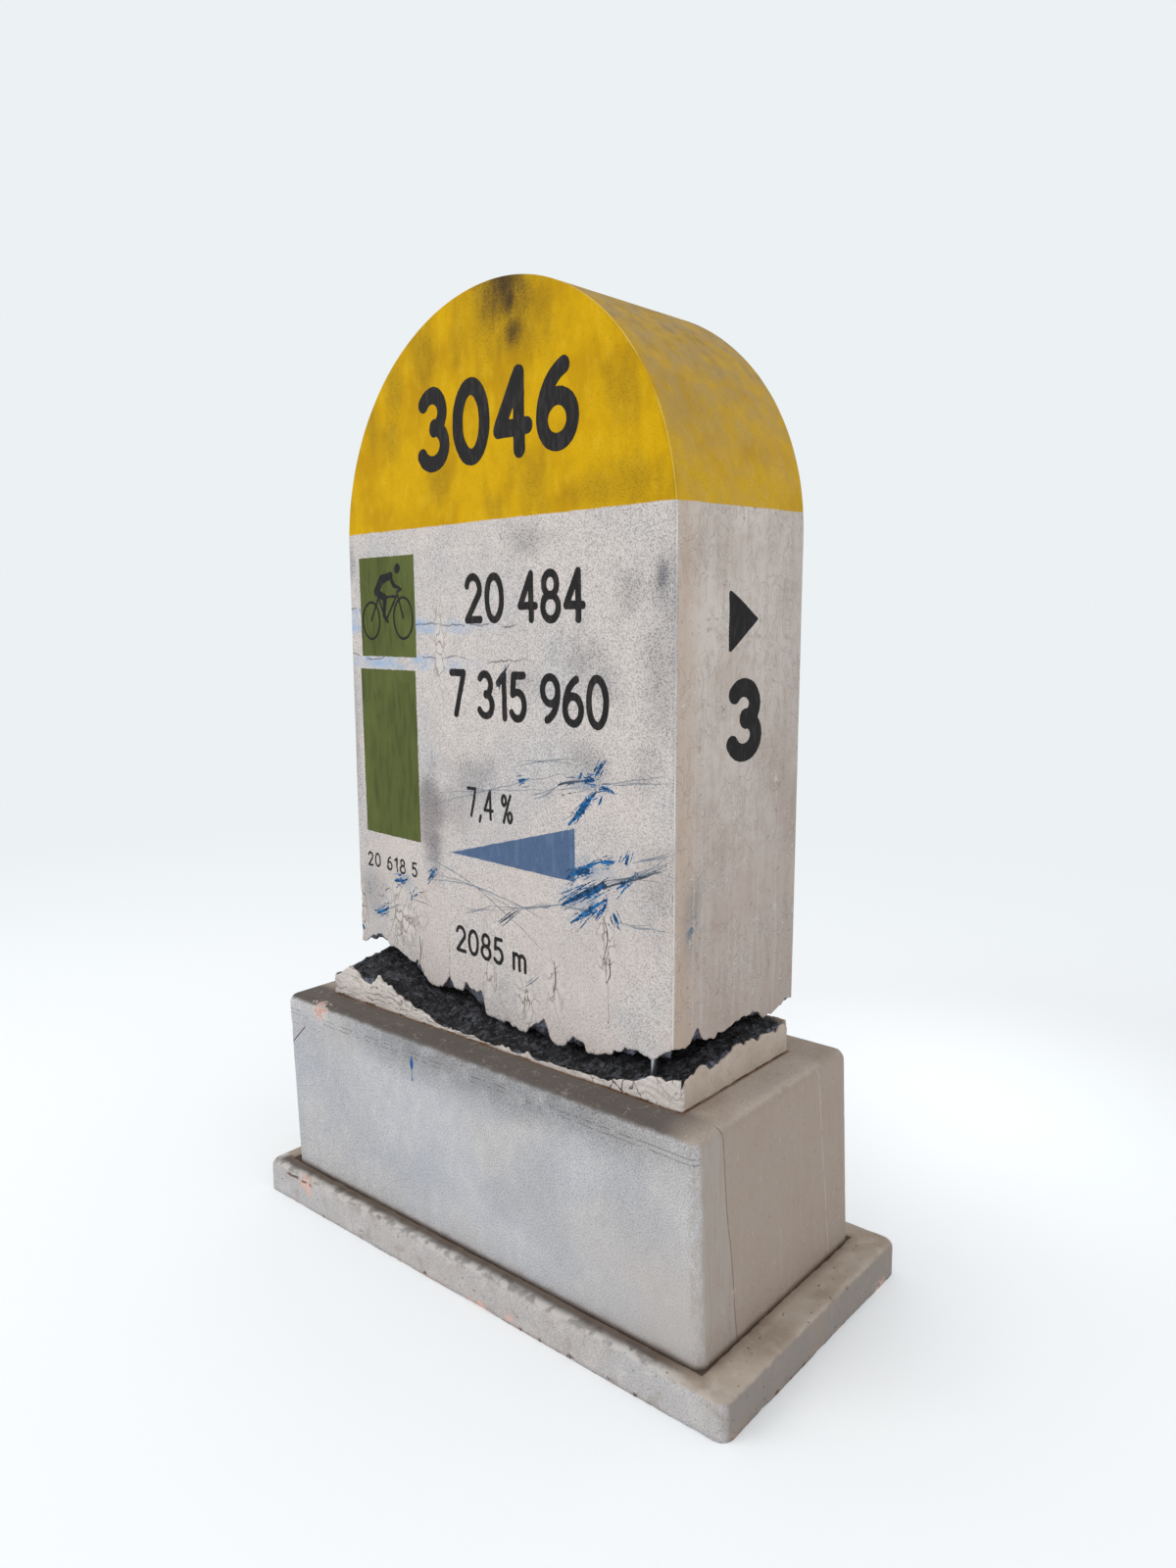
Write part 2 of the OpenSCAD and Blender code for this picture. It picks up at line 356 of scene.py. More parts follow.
def post_outline(rows, turns):
    """Places (x, z) and outward normals up the left wall, over the round head and down the right wall."""
    share = rows / SPRING_Z
    left_half = HALF_W - LEFT_LEAN + ARCH_SHIFT
    right_half = HALF_W + RIGHT_LEAN - ARCH_SHIFT
    head_z = SPRING_Z + ARCH_H * np.sin(turns)
    left_x = np.concatenate([-HALF_W + LEFT_LEAN * share, ARCH_SHIFT - left_half * np.cos(turns)])
    right_x = np.concatenate([HALF_W + RIGHT_LEAN * share, ARCH_SHIFT + right_half * np.cos(turns)])
    z = np.concatenate([rows, head_z])
    outline = np.concatenate([np.column_stack([left_x, z]), np.column_stack([right_x, z])[-2::-1]])
    tangent = np.gradient(outline, axis=0)
    tangent /= np.linalg.norm(tangent, axis=1)[:, None]
    return outline, np.column_stack([-tangent[:, 1], tangent[:, 0]])


def upper_coat_mesh():
    """The upper post's coat: walls, round head, torn lower edge, and a closed inside."""
    base, reach = 30, 90
    front_columns, back_columns, head_steps = 200, 60, 60
    turns = np.linspace(0, math.pi / 2, head_steps + 1)[1:]
    outline, normals = post_outline(wall_rows(base, SPRING_Z), turns)
    last, top = len(outline) - 1, len(outline) // 2
    profile = depth_profile(2.6)
    across = len(profile)
    # the walls and the head, as one strip round the outline
    verts = [
        (x + nx * offset, y, z + nz * offset)
        for (x, z), (nx, nz) in zip(outline, normals) for offset, y in profile
    ]
    faces = grid_faces(np.arange(len(verts)).reshape(-1, across))
    # the front and the back
    lowest = {}
    for side, columns in ((0, front_columns), (across - 1, back_columns)):
        grid = []
        for k in range(top):
            a, b = k * across + side, (last - k) * across + side
            ends = np.array((verts[a], verts[b]))
            grid.append([a, *range(len(verts), len(verts) + columns - 1), b])
            verts += [tuple(ends[0] * (1 - t) + ends[1] * t) for t in np.arange(1, columns) / columns]
        faces += grid_faces(np.array(grid))
        crown = top * across + side
        faces += [(grid[-1][m], grid[-1][m + 1], crown) for m in range(columns)]
        lowest[side] = grid[0]
    verts = np.array(verts)
    # the roof falls a little to the back, and the torn edge pulls the lowest rows up or down
    back_share = (verts[:, 1] + HALF_D) / POST_D
    verts[:, 2] -= ROOF_FALL * back_share * ease((verts[:, 2] - SPRING_Z) / ARCH_H)
    edge = coat_edge(upper_field, verts[:, 0], verts[:, 1], UPPER_SEED)
    verts[:, 2] += (edge - base) * np.clip(1 - (verts[:, 2] - base) / reach, 0, 1)
    verts = push_in(verts, faces, lambda p, n: unevenness(p) + crumpled(p))
    ring = lowest[0] + [last * across + j for j in range(1, across - 1)]
    ring += lowest[across - 1][::-1] + list(range(across - 2, 0, -1))
    verts, faces, cap_ring = with_inside(verts, faces, ring, CAP_Z)
    return verts, faces + [cap_ring.tolist()]


def with_inside(verts, faces, ring, inside_z):
    """Adds the coat's thickness at its torn ring, and an inner wall that ends in a ring at inside_z."""
    loop = verts[ring]
    along = (np.roll(loop, -1, 0) - np.roll(loop, 1, 0))[:, :2]
    along /= np.maximum(np.linalg.norm(along, axis=1), 0.001)[:, None]
    inner = loop.copy()
    inner[:, :2] += np.column_stack([-along[:, 1], along[:, 0]]) * COAT_T
    inner[:, 2] += layered(loop, 6, 2, INSIDE_SEED) * 0.5
    end = inner.copy()
    end[:, 2] = inside_z
    inner_ring = np.arange(len(verts), len(verts) + len(ring))
    end_ring = inner_ring + len(ring)
    faces += ring_faces(ring, inner_ring) + ring_faces(inner_ring, end_ring)
    return np.concatenate([verts, inner, end]), faces, end_ring


def stub_coat_mesh():
    """The stub's coat: four low walls with rounded arrises and a torn upper edge."""
    profile = depth_profile(2)
    columns, layers, least_h = 220, 16, 0.7
    front = [(x, -HALF_D) for x in np.linspace(-HALF_W + ARRIS_R, HALF_W - ARRIS_R, columns + 1)]
    loop = front + [(HALF_W + o, y) for o, y in profile[1:-1]]
    loop += [(x, HALF_D) for x, y in reversed(front)] + [(-HALF_W - o, y) for o, y in profile[::-1][1:-1]]
    loop = np.array(loop)
    edge = np.maximum(least_h, coat_edge(stub_field, loop[:, 0], loop[:, 1], STUB_SEED))
    verts = np.concatenate([np.column_stack([loop, edge * k / (layers - 1)]) for k in range(layers)])
    rings = np.arange(len(verts)).reshape(layers, len(loop))
    faces = []
    for low, high in zip(rings, rings[1:]):
        faces += ring_faces(low, high)

    def layered_wrinkles(p, n):
        level = (1 - folds(p[:, [2, 1, 0]], 1.9, 51, 0.35)) * 1.1
        return unevenness(p) + level * ease(p[:, 2] / 5) * (p[:, 1] < -HALF_D + 4)

    verts = push_in(verts, faces, layered_wrinkles)
    verts, faces, foot_ring = with_inside(verts, faces, rings[-1], 0.0)
    return verts, faces + ring_faces(foot_ring, rings[0])


# Core

CORE_IN = COAT_T + 0.15
CORE_STEP = 1.4
CORE_LAYERS = 5
# How wide a stretch of the coat's edge each half's core follows
UPPER_WINDOW = 26
STUB_WINDOW = 20


def envelope(values, width, lowest):
    """Running least or greatest value along a wall, smoothed."""
    half = max(1, int(width / CORE_STEP / 2))

    def windows(line):
        padded = np.pad(line, half, mode="edge")
        return np.stack([padded[k:k + len(line)] for k in range(2 * half + 1)])

    return windows(windows(values).min(0) if lowest else windows(values).max(0)).mean(0)


def core_mesh(field, seed, is_upper, flat_z):
    """The torn core inside the coat: a rough face, four walls and a flat far side."""
    half_w, half_d = HALF_W - CORE_IN, HALF_D - CORE_IN
    xs = np.linspace(-half_w, half_w, int(2 * half_w / CORE_STEP) + 1)
    ys = np.linspace(-half_d, half_d, int(2 * half_d / CORE_STEP) + 1)
    nx, ny = len(xs), len(ys)
    x, y = (g.ravel() for g in np.meshgrid(xs, ys))
    # at the walls the core follows the coat's torn edge, without its notches
    window = UPPER_WINDOW if is_upper else STUB_WINDOW
    walls = []
    long_walls = [(xs, 0 * xs + side) for side in (-HALF_D, HALF_D)]
    for wall_x, wall_y in long_walls + [(0 * ys + side, ys) for side in (-HALF_W, HALF_W)]:
        edge = torn_line(field, wall_x, wall_y, seed)
        walls.append(envelope(edge, window, is_upper) - read_field(field, wall_x, wall_y))
    column, row = np.tile(np.arange(nx), ny), np.repeat(np.arange(ny), nx)
    gaps = np.stack([y + half_d, half_d - y, x + half_w, half_w - x])
    at_wall = np.choose(gaps.argmin(0), [walls[0][column], walls[1][column], walls[2][row], walls[3][row]])
    near = 1 - ease(gaps.min(0) / 10)
    # lumps, terraces and crumbs, always away from the other half
    points = level_places(x, y)
    lumps = layered(points, 15, 4, seed + 3, 0.6) * 0.5 + 0.5
    bent = points + layered(points, 5, 2, seed + 6)[:, None] * 2
    terraces = terraced(bent, 7, seed + 4, 4) * 0.5 + 0.5
    ridges = np.abs(layered(points, 6, 3, seed + 7))
    rough = lumps * 3 + terraces * 3.2 + (1 - ridges) * 2.2
    height = read_field(field, x, y) + at_wall * near + (rough if is_upper else -rough)
    if not is_upper:
        height = np.maximum(height, 0.5 + 0.3 * lumps)
    verts = np.column_stack([x, y, height])
    cells = np.arange(nx * ny).reshape(ny, nx)
    faces = grid_faces(cells)
    ring = np.concatenate([cells[0], cells[1:, -1], cells[-1, -2::-1], cells[-2:0:-1, 0]])
    levels = [verts]
    previous = ring
    for k in range(1, CORE_LAYERS + 1):
        level = verts[ring].copy()
        level[:, 2] += (flat_z - level[:, 2]) * k / CORE_LAYERS
        levels.append(level)
        current = np.arange(len(ring)) + len(verts) + (k - 1) * len(ring)
        faces += ring_faces(previous, current)
        previous = current
    return np.concatenate(levels), faces + [previous.tolist()]


# Worn blocks

CORNER_STEPS = 5
TOP_SHARE = 0.96
UNDERSIDE_SHARE = (0.985, 0.97, 0)
ROUND_EDGE_SLOPE = 0.29


def block_ring(half_x, half_y, corner_r, counts):
    """Points round a rounded rectangle. counts is how many lie along x and along y."""
    r = min(max(corner_r, 0.0), half_x, half_y)
    points = []
    corners = ((1, -1), (1, 1), (-1, 1), (-1, -1))
    for index, (sx, sy) in enumerate(corners):
        turn = np.radians(-90 + 90 * index + np.linspace(0, 90, CORNER_STEPS + 1))
        arc = np.column_stack([sx * (half_x - r) + r * np.cos(turn), sy * (half_y - r) + r * np.sin(turn)])
        nx, ny = corners[(index + 1) % 4]
        goal = (nx * (half_x - r) + r * np.cos(turn[-1]), ny * (half_y - r) + r * np.sin(turn[-1]))
        count = counts[1] if index % 2 == 0 else counts[0]
        points += [*arc, *(arc[-1] + (goal - arc[-1]) * k / count for k in range(1, count))]
    return np.array(points)


def worn_block(low, high, corner_r, edge_r, leans, seed, foot_wear, chipping, step):
    """A block with rounded corners and top edge, worn all over, and with a chipped foot.

    leans says how far the left side, the right side and the back stand in, each as (at the foot, at the top).
    foot_wear is the depth of the foot's chips, and chipping says how much of the edges is chipped, 0 to 1.
    """
    w, d, h = high - low
    counts = (int(w / step), int(d / step))
    quarter = np.linspace(0, math.pi / 2, CORNER_STEPS + 1)[1:]
    levels = [(0.0, z) for z in np.linspace(0, h - edge_r, max(3, int((h - edge_r) / step)))]
    levels += [(edge_r * (1 - math.cos(t)), h - edge_r + edge_r * math.sin(t)) for t in quarter]
    levels += [(inset, h) for inset in np.linspace(edge_r, TOP_SHARE * d / 2, int(d / 2 / step))[1:]]
    verts = []
    for inset, z in levels:
        ring = block_ring(w / 2 - inset, d / 2 - inset, corner_r - inset, counts)
        left, right, back = (foot + (top - foot) * z / h for foot, top in leans)
        u, v = np.clip(ring[:, 0] / w + 0.5, 0, 1), np.clip(ring[:, 1] / d + 0.5, 0, 1)
        x = ring[:, 0] + left * (1 - u) - right * u
        verts.append(np.column_stack([x, ring[:, 1] - back * v, np.full(len(ring), z)]))
    rings = np.arange(sum(map(len, verts))).reshape(len(levels), -1)
    verts = np.concatenate(verts)
    faces = []
    for below, over in zip(rings, rings[1:]):
        faces += ring_faces(below, over)
    faces.append(rings[-1].tolist())

    def wear(p, n):
        on_edge = np.clip((1 - np.abs(n).max(1)) / ROUND_EDGE_SLOPE, 0, 1)
        broad = (layered(p, 140, 2, seed) * 0.5 + 0.5) * 0.5
        fine = (layered(p, 14, 3, seed + 3) * 0.5 + 0.5) * 0.25
        chips = np.maximum(0, layered(p, 11, 3, seed + 6) - 0.4 + chipping) * 6 * on_edge
        on_top = (n[:, 2] > 0.9) & (p[:, 2] > h - 0.1)
        return np.where(on_top, 0.35 * fine, broad * (n[:, 2] < 0.7) + fine + chips)

    verts = push_in(verts, faces, wear)
    # the foot's edge is chipped away here and there, and the underside closes the block
    foot = rings[0]
    verts[foot, 2] = np.maximum(0, layered(verts[foot], 30, 4, seed + 9, 0.7) - 0.05) * foot_wear
    under_ring = foot + len(verts)
    faces += ring_faces(under_ring, foot) + [under_ring[::-1].tolist()]
    return np.concatenate([verts, verts[foot] * UNDERSIDE_SHARE]), faces


# Materials

def linear(colour):
    """A colour given as it looks on screen, 0 to 255, as the linear values that a shader takes."""
    shares = (c / 255 for c in colour)
    return *(c / 12.92 if c <= 0.04045 else ((c + 0.055) / 1.055) ** 2.4 for c in shares), 1.0


class Value:
    """What a node gives: a number, a place or a colour that differs over the surface."""

    def __init__(self, tree, socket):
        self.tree = tree
        self.socket = socket

    def __add__(self, other):
        return calc("ADD", self, other)

    def __sub__(self, other):
        return calc("SUBTRACT", self, other)

    def __rsub__(self, other):
        return calc("SUBTRACT", other, self)

    def __mul__(self, other):
        return calc("MULTIPLY", self, other)

    def __truediv__(self, other):
        return calc("DIVIDE", self, other)

    def __abs__(self):
        return calc("ABSOLUTE", self)

    __radd__ = __add__
    __rmul__ = __mul__

    def lay(self, colour, share):
        """Covers this colour with another one, as far as share says."""
        self.socket = mix(self, colour, share).socket


def add_node(tree, kind, inputs, output=0, **settings):
    """Adds a shader node with its settings and inputs, and returns one of its outputs."""
    node = tree.nodes.new("ShaderNode" + kind)
    for name, setting in settings.items():
        setattr(node, name, setting)
    for key, value in inputs.items():
        if isinstance(value, Value):
            tree.links.new(value.socket, node.inputs[key])
        else:
            node.inputs[key].default_value = value
    return Value(tree, node.outputs[output])


def calc(operation, *operands):
    tree = next(operand.tree for operand in operands if isinstance(operand, Value))
    return add_node(tree, "Math", dict(enumerate(operands)), operation=operation)


def peak(first, *others):
    """The greatest of the values."""
    for other in others:
        first = calc("MAXIMUM", first, other)
    return first


def mix(a, b, share):
    """Colour a, with share of it replaced by colour b."""
    a, b = (c if isinstance(c, Value) else linear(c) for c in (a, b))
    return add_node(share.tree, "Mix", {"Factor": share, "A": a, "B": b}, "Result", data_type="RGBA")


def fade(value, low, high):
    """0 at low and 1 at high, eased. low may be above high."""
    falls = low > high
    inputs = {"Value": value, "From Min": min(low, high), "From Max": max(low, high)}
    inputs |= {"To Min": float(falls), "To Max": float(not falls)}
    return add_node(value.tree, "MapRange", inputs, "Result", interpolation_type="SMOOTHSTEP")


def band(axis, centre, half, soft):
    """1 where the axis lies within half of centre, falling to 0 over soft."""
    return fade(abs(axis - centre), half + soft, half)


class Paint:
    """A material built of masks in the piece's own coordinates."""

    def __init__(self, name, roughness=0.85, specular=0.12, metallic=0.0):
        self.material = bpy.data.materials.new(name)
        self.material.use_nodes = True
        self.tree = self.material.node_tree
        self.shader = self.tree.nodes["Principled BSDF"]
        self.shader.inputs["Roughness"].default_value = roughness
        self.shader.inputs["Specular IOR Level"].default_value = specular
        self.shader.inputs["Metallic"].default_value = metallic
        self.place = add_node(self.tree, "TexCoord", {}, "Object")
        axes = (add_node(self.tree, "SeparateXYZ", {0: self.place}, axis) for axis in range(3))
        self.x, self.y, self.z = (axis * (1 / MM) for axis in axes)
        self.seed = 0.0

    def mapped(self, wave, stretch, turn):
        """The place counted in waves, each time in another stretch of the noise."""
        self.seed += 1.37
        start = (self.seed, self.seed * 0.7, self.seed * 1.9)
        scale = [1 / (wave * MM * s) for s in stretch]
        inputs = {"Vector": self.place, "Location": start, "Rotation": (0, turn, 0), "Scale": scale}
        return add_node(self.tree, "Mapping", inputs)

    def noise_at(self, place, detail, distortion, output):
        inputs = {"Vector": place, "Scale": 1, "Detail": detail, "Distortion": distortion}
        return add_node(self.tree, "TexNoise", inputs, output)

    def noise(self, wave, detail=2, stretch=(1, 1, 1), turn=0, distortion=0):
        """Noise about 0.5. wave is its wavelength, and stretch lengthens it along the piece's axes."""
        return self.noise_at(self.mapped(wave, stretch, turn), detail, distortion, "Fac")

    def crazing(self, cell, width, stretch=(1, 1, 1), turn=0):
        """Cracks between irregular cells, 1 on a crack."""
        place = self.mapped(cell, stretch, turn)
        bend = self.noise_at(place, 3, 0, "Color")
        inputs = {0: bend, 1: (1.4, 1.4, 1.4), 2: place}
        bent = add_node(self.tree, "VectorMath", inputs, operation="MULTIPLY_ADD")
        cells = {"Vector": bent, "Scale": 1}
        edge_gap = add_node(self.tree, "TexVoronoi", cells, "Distance", feature="DISTANCE_TO_EDGE")
        return fade(edge_gap, width / cell, 0)

    def drift(self, wave, reach, detail=3):
        """A length that wanders by about reach either way."""
        return (self.noise(wave, detail) - 0.5) * (3 * reach)

    def blobs(self, spots, breakup, spread=1.6, hard=0):
        """Soft spots, each as (x, z, radius along x, radius along z). breakup eats their edges."""
        eaten = (breakup - 0.5) * spread
        found = []
        for x, z, rx, rz in spots:
            across, up = (self.x - x) / rx, (self.z - z) / rz
            found.append(fade(calc("SQRT", across * across + up * up) + eaten, 1, hard))
        return peak(*found)

    def finish(self, colour, height=None, depth=0.6, strength=0.5):
        """The material, with height as relief that is depth deep."""
        self.tree.links.new(colour.socket, self.shader.inputs["Base Color"])
        if height is not None:
            inputs = {"Height": height, "Strength": strength, "Distance": depth * MM}
            normal = add_node(self.tree, "Bump", inputs)
            self.tree.links.new(normal.socket, self.shader.inputs["Normal"])
        return self.material


PALE = (203, 195, 191)
PALE_COOL = (188, 185, 185)
PALE_LIGHT = (224, 217, 212)
SPECK = (140, 134, 132)
SOOT_GREY = (104, 104, 110)
SOOT_SPECK = (58, 58, 62)
TAUPE_TOP = (208, 199, 192)
TAUPE_FOOT = (180, 167, 159)
TAUPE_BROWN = (160, 142, 128)
TAUPE_LIGHT = (210, 202, 196)
YELLOW = (208, 163, 4)
YELLOW_DEEP = (188, 143, 4)
YELLOW_LIGHT = (220, 180, 40)
YELLOW_SOOT = (104, 84, 30)
ROOF_DUST = (172, 147, 100)
GREEN = (86, 94, 50)
GREEN_DARK = (70, 76, 42)
WEDGE_BLUE = (82, 103, 134)
RUB_BLUE = (152, 176, 206)
CRACK_BLUE = (66, 76, 96)
CRACK_BROWN = (112, 88, 78)
FOAM_PINK = (214, 178, 166)
DIRT_AND_JOINT_SHADE = (124, 102, 84)
DARK_DIRT_AND_JOINT_SHADE = (58, 46, 40)


def front_mask(p):
    """1 on the front of the post, with its arris."""
    return fade(p.y, -HALF_D + 5, -HALF_D + 2)


def pale_coat(p, speckle, mottling, cool=PALE_COOL, pale=PALE):
    """The sprayed coat of the fronts: pale, clouded and finely speckled."""
    grain = p.noise(1.15, 2)
    colour = mix(cool, pale, fade(p.noise(90, 3), 0.36, 0.6))
    mottle = p.noise(11, 5, stretch=(1, 1, 1.4))
    colour.lay(PALE_LIGHT, fade(mottle, 0.5, 0.34) * (mottling * 0.4))
    colour.lay(SPECK, fade(mottle, 0.52, 0.72) * (mottling * 0.3))
    colour.lay(PALE_LIGHT, fade(grain, 0.49, 0.36) * (speckle * 0.8))
    colour.lay(SPECK, fade(grain, 0.51, 0.64) * speckle)
    return colour, grain


def taupe_coat(p, grain, top, foot, streakiness):
    """The brushed coat of the other faces, clouded, with soft streaks from top to bottom."""
    streak = p.noise(5, 3, stretch=(1, 1, 13))
    colour = mix(foot, top, fade(p.z, 0, CROWN_Z * 0.75))
    colour.lay(TAUPE_BROWN, fade(p.noise(60, 4), 0.44, 0.68) * 0.35)
    colour.lay(TAUPE_BROWN, fade(streak, 0.5, 0.72) * streakiness)
    colour.lay(TAUPE_LIGHT, fade(streak, 0.48, 0.3) * streakiness)
    colour.lay(TAUPE_BROWN, fade(p.noise(9, 4), 0.48, 0.66) * 0.22)
    colour.lay(SPECK, fade(grain, 0.54, 0.68) * 0.18)
    return colour, streak


def dents(p):
    """Small pits and blisters of a coat laid on by hand."""
    return fade(p.noise(4.5, 2, distortion=0.6), 0.66, 0.74)


def soot(colour, mask, grain, shade, speck, amount):
    """Lays soot on a colour, as a soft shade with darker specks in it."""
    colour.lay(shade, mask * amount)
    colour.lay(speck, mask * fade(grain, 0.5, 0.64) * (amount * 0.7))


def painted_field(p, x0, x1, z0, z1, wander):
    """A rectangle of paint on the front, with an edge as a brush leaves it."""
    soft = 0.5
    across = band(p.x + wander, (x0 + x1) / 2, (x1 - x0) / 2, soft)
    return across * band(p.z + POST_Z + wander, (z0 + z1) / 2, (z1 - z0) / 2, soft)


def wedge_field(p, wander):
    """The blue wedge: a tip at the left, a level foot and an upright heel."""
    tip_x, heel_x = -54, 103.5
    foot_z, head_z = 343.5, 385.5
    slope = (head_z - foot_z) / (heel_x - tip_x)
    z = p.z + POST_Z + wander
    under = p.x * slope + (foot_z - tip_x * slope) - z
    heel = fade(p.x + wander, heel_x + 0.4, heel_x - 0.4)
    return fade(under, 0, 0.8) * fade(z, foot_z - 0.4, foot_z + 0.4) * heel


def floor_spots(*spots):
    """Spots whose heights are given above the floor, as blobs() takes them."""
    return [(x, z - POST_Z, rx, rz) for x, z, rx, rz in spots]


def yellow_coat(p, grain, front, streaky):
    """The yellow head: brushed at the front with soot on it, dusty on the roof."""
    brushed = p.noise(9, 5, stretch=(1, 1, 2))
    colour = mix(YELLOW, YELLOW_DEEP, fade(p.noise(44, 4), 0.44, 0.7))
    colour.lay(YELLOW_LIGHT, fade(brushed, 0.48, 0.32) * 0.3)
    colour.lay(YELLOW_DEEP, fade(brushed, 0.52, 0.7) * 0.35)
    colour.lay(YELLOW_DEEP, fade(grain, 0.52, 0.66) * 0.5)
    roof = fade(p.y, -HALF_D + 1, -HALF_D + 7)
    rising = fade(p.z, SPRING_Z, CROWN_Z - 24) * 0.66 + 0.26
    mottled = 0.5 + fade(p.noise(16, 5), 0.38, 0.62) * 0.5
    colour.lay(ROOF_DUST, roof * rising * mottled)
    dark_dust = fade(p.noise(11, 6), 0.46, 0.68)
    colour.lay((120, 100, 74), roof * fade(p.z, SPRING_Z + 60, CROWN_Z) * dark_dust * 0.45)
    faint = p.blobs(floor_spots(
        (-2, 770, 48, 60), (60, 756, 40, 60), (-76, 756, 34, 50), (-112, 738, 22, 44), (-150, 706, 16, 44),
        (-190, 652, 10, 40), (-52, 650, 26, 26), (58, 640, 30, 52), (20, 628, 26, 26), (156, 694, 34, 56),
        (172, 632, 56, 34), (124, 630, 40, 20), (-120, 690, 20, 30),
    ), streaky, 1.9)
    strong = p.blobs(floor_spots((34, 790, 44, 40), (40, 776, 18, 28), (42, 752, 16, 24)), streaky, 0.9)
    soot(colour, faint * front, grain, YELLOW_SOOT, (70, 56, 26), 0.3)
    soot(colour, strong * front, grain, (72, 56, 36), (40, 31, 20), 0.95)
    return colour


def post_material():
    """The post's coat with its yellow head, painted fields, soot, rubs and cracks."""
    p = Paint("post_coat")
    front = front_mask(p)
    colour, grain = pale_coat(p, 0.66, 0.4)
    side, streak = taupe_coat(p, grain, TAUPE_TOP, TAUPE_FOOT, 0.21)
    pits = dents(p)
    near_arris = fade(p.y + p.drift(14, 5), -HALF_D + 34, -HALF_D + 6)
    side.lay((186, 162, 142), near_arris * 0.55)
    side.lay((132, 110, 94), pits * 0.4)
    side.lay((150, 138, 131), fade(p.y, 0, HALF_D) * 0.3)
    colour = mix(side, colour, front)
    wander, slow_wander = p.drift(7, 0.5), p.drift(18, 1)
    breakup, fine_breakup = p.noise(46, 3), p.noise(9, 4)
    streaky = p.noise(18, 4, stretch=(1, 1, 2.4))
    right = fade(p.x, HALF_W - 6, HALF_W - 2)
    # up is the height above the floor
    up = p.z + POST_Z

    # soot on the front's coat
    smudges = p.blobs(floor_spots(
        (196, 566, 24, 50), (190, 505, 32, 60), (160, 556, 30, 30), (112, 512, 40, 34), (130, 494, 36, 26),
        (-20, 410, 44, 40), (-42, 388, 34, 30), (-84, 374, 30, 52), (-76, 325, 28, 28), (118, 438, 36, 24),
        (190, 352, 30, 50), (172, 430, 26, 32), (40, 496, 40, 18), (-196, 596, 16, 36),
        (-180, 292, 28, 40), (60, 600, 44, 18), (-120, 420, 30, 60), (-196, 440, 14, 120),
    ), breakup, 2)
    soot(colour, smudges * front, grain, SOOT_GREY, SOOT_SPECK, 0.32)
    dark = p.blobs(floor_spots((-80, 376, 28, 56), (-76, 350, 22, 30), (192, 570, 8, 16)), breakup, 1.2)
    soot(colour, dark * front, grain, SOOT_GREY, SOOT_SPECK, 0.66)
    warm = fade(p.noise(60, 3), 0.42, 0.6) * fade(up, 460, 280) * front
    colour.lay((206, 190, 181), warm * 0.34)

    # pale-blue rubs along the two level cracks, strongest beside the green square
    rub_z = up + p.drift(22, 4)
    beside = band(rub_z, 536, 1, 8) * fade(p.x, 30, -92)
    between = band(rub_z, 505, 2, 7) * fade(p.x, 20, -100)
    at_left = band(rub_z, 545, 6, 12) * fade(p.x, -176, -186)
    washed = fade(p.noise(13, 5, stretch=(1.8, 1, 1)), 0.3, 0.68)
    rubs = peak(beside, between, at_left) * washed * front
    colour.lay(RUB_BLUE, rubs * 0.9)

    square = painted_field(p, -178, -93.5, 509.5, 596.5, wander)
    green = peak(square, painted_field(p, -181.5, -96, 346, 497.5, wander))
    brushed = fade(p.noise(5, 4, stretch=(1, 1, 6)), 0.44, 0.68)
    green_colour = mix(GREEN, GREEN_DARK, brushed * 0.7)
    green_colour.lay((100, 108, 58), fade(p.noise(50, 3), 0.46, 0.66) * 0.5)
    nicks = fade(p.noise(2.4, 2, stretch=(1, 1, 2.5)), 0.7, 0.76)
    green_colour.lay((124, 132, 84), nicks * 0.6)
    colour.lay(green_colour, green * front)
    blue = mix(WEDGE_BLUE, (66, 84, 112), fade(grain, 0.5, 0.66) * 0.6)
    blue.lay((98, 118, 146), fade(p.noise(7, 4, stretch=(1, 1, 3)), 0.48, 0.66) * 0.6)
    colour.lay(blue, wedge_field(p, wander) * front)

    head = fade(up + slow_wander * 0.8, 617.4, 618.6)
    colour.lay(yellow_coat(p, grain, front, streaky), head)

    # blue rubs around the scuffs, on the front and low on the right side
    pale_rubs = p.blobs(floor_spots(
        (118, 420, 34, 9), (122, 356, 30, 12), (112, 332, 40, 12), (-160, 272, 24, 10), (-124, 306, 20, 9),
    ), fine_breakup)
    colour.lay((112, 138, 164), pale_rubs * front * 0.4)
    side_spot = band(up, 323, 2, 12) * band(p.y, -52, 1, 8)
    side_rub = side_spot * fade(fine_breakup, 0.5, 0.58) * right
    colour.lay((66, 112, 138), side_rub * 0.9)
    grey_side = band(up, 330, 10, 40) * band(p.y, -50, 1, 16) * right
    colour.lay((138, 132, 130), grey_side * fade(breakup, 0.42, 0.6) * 0.6)

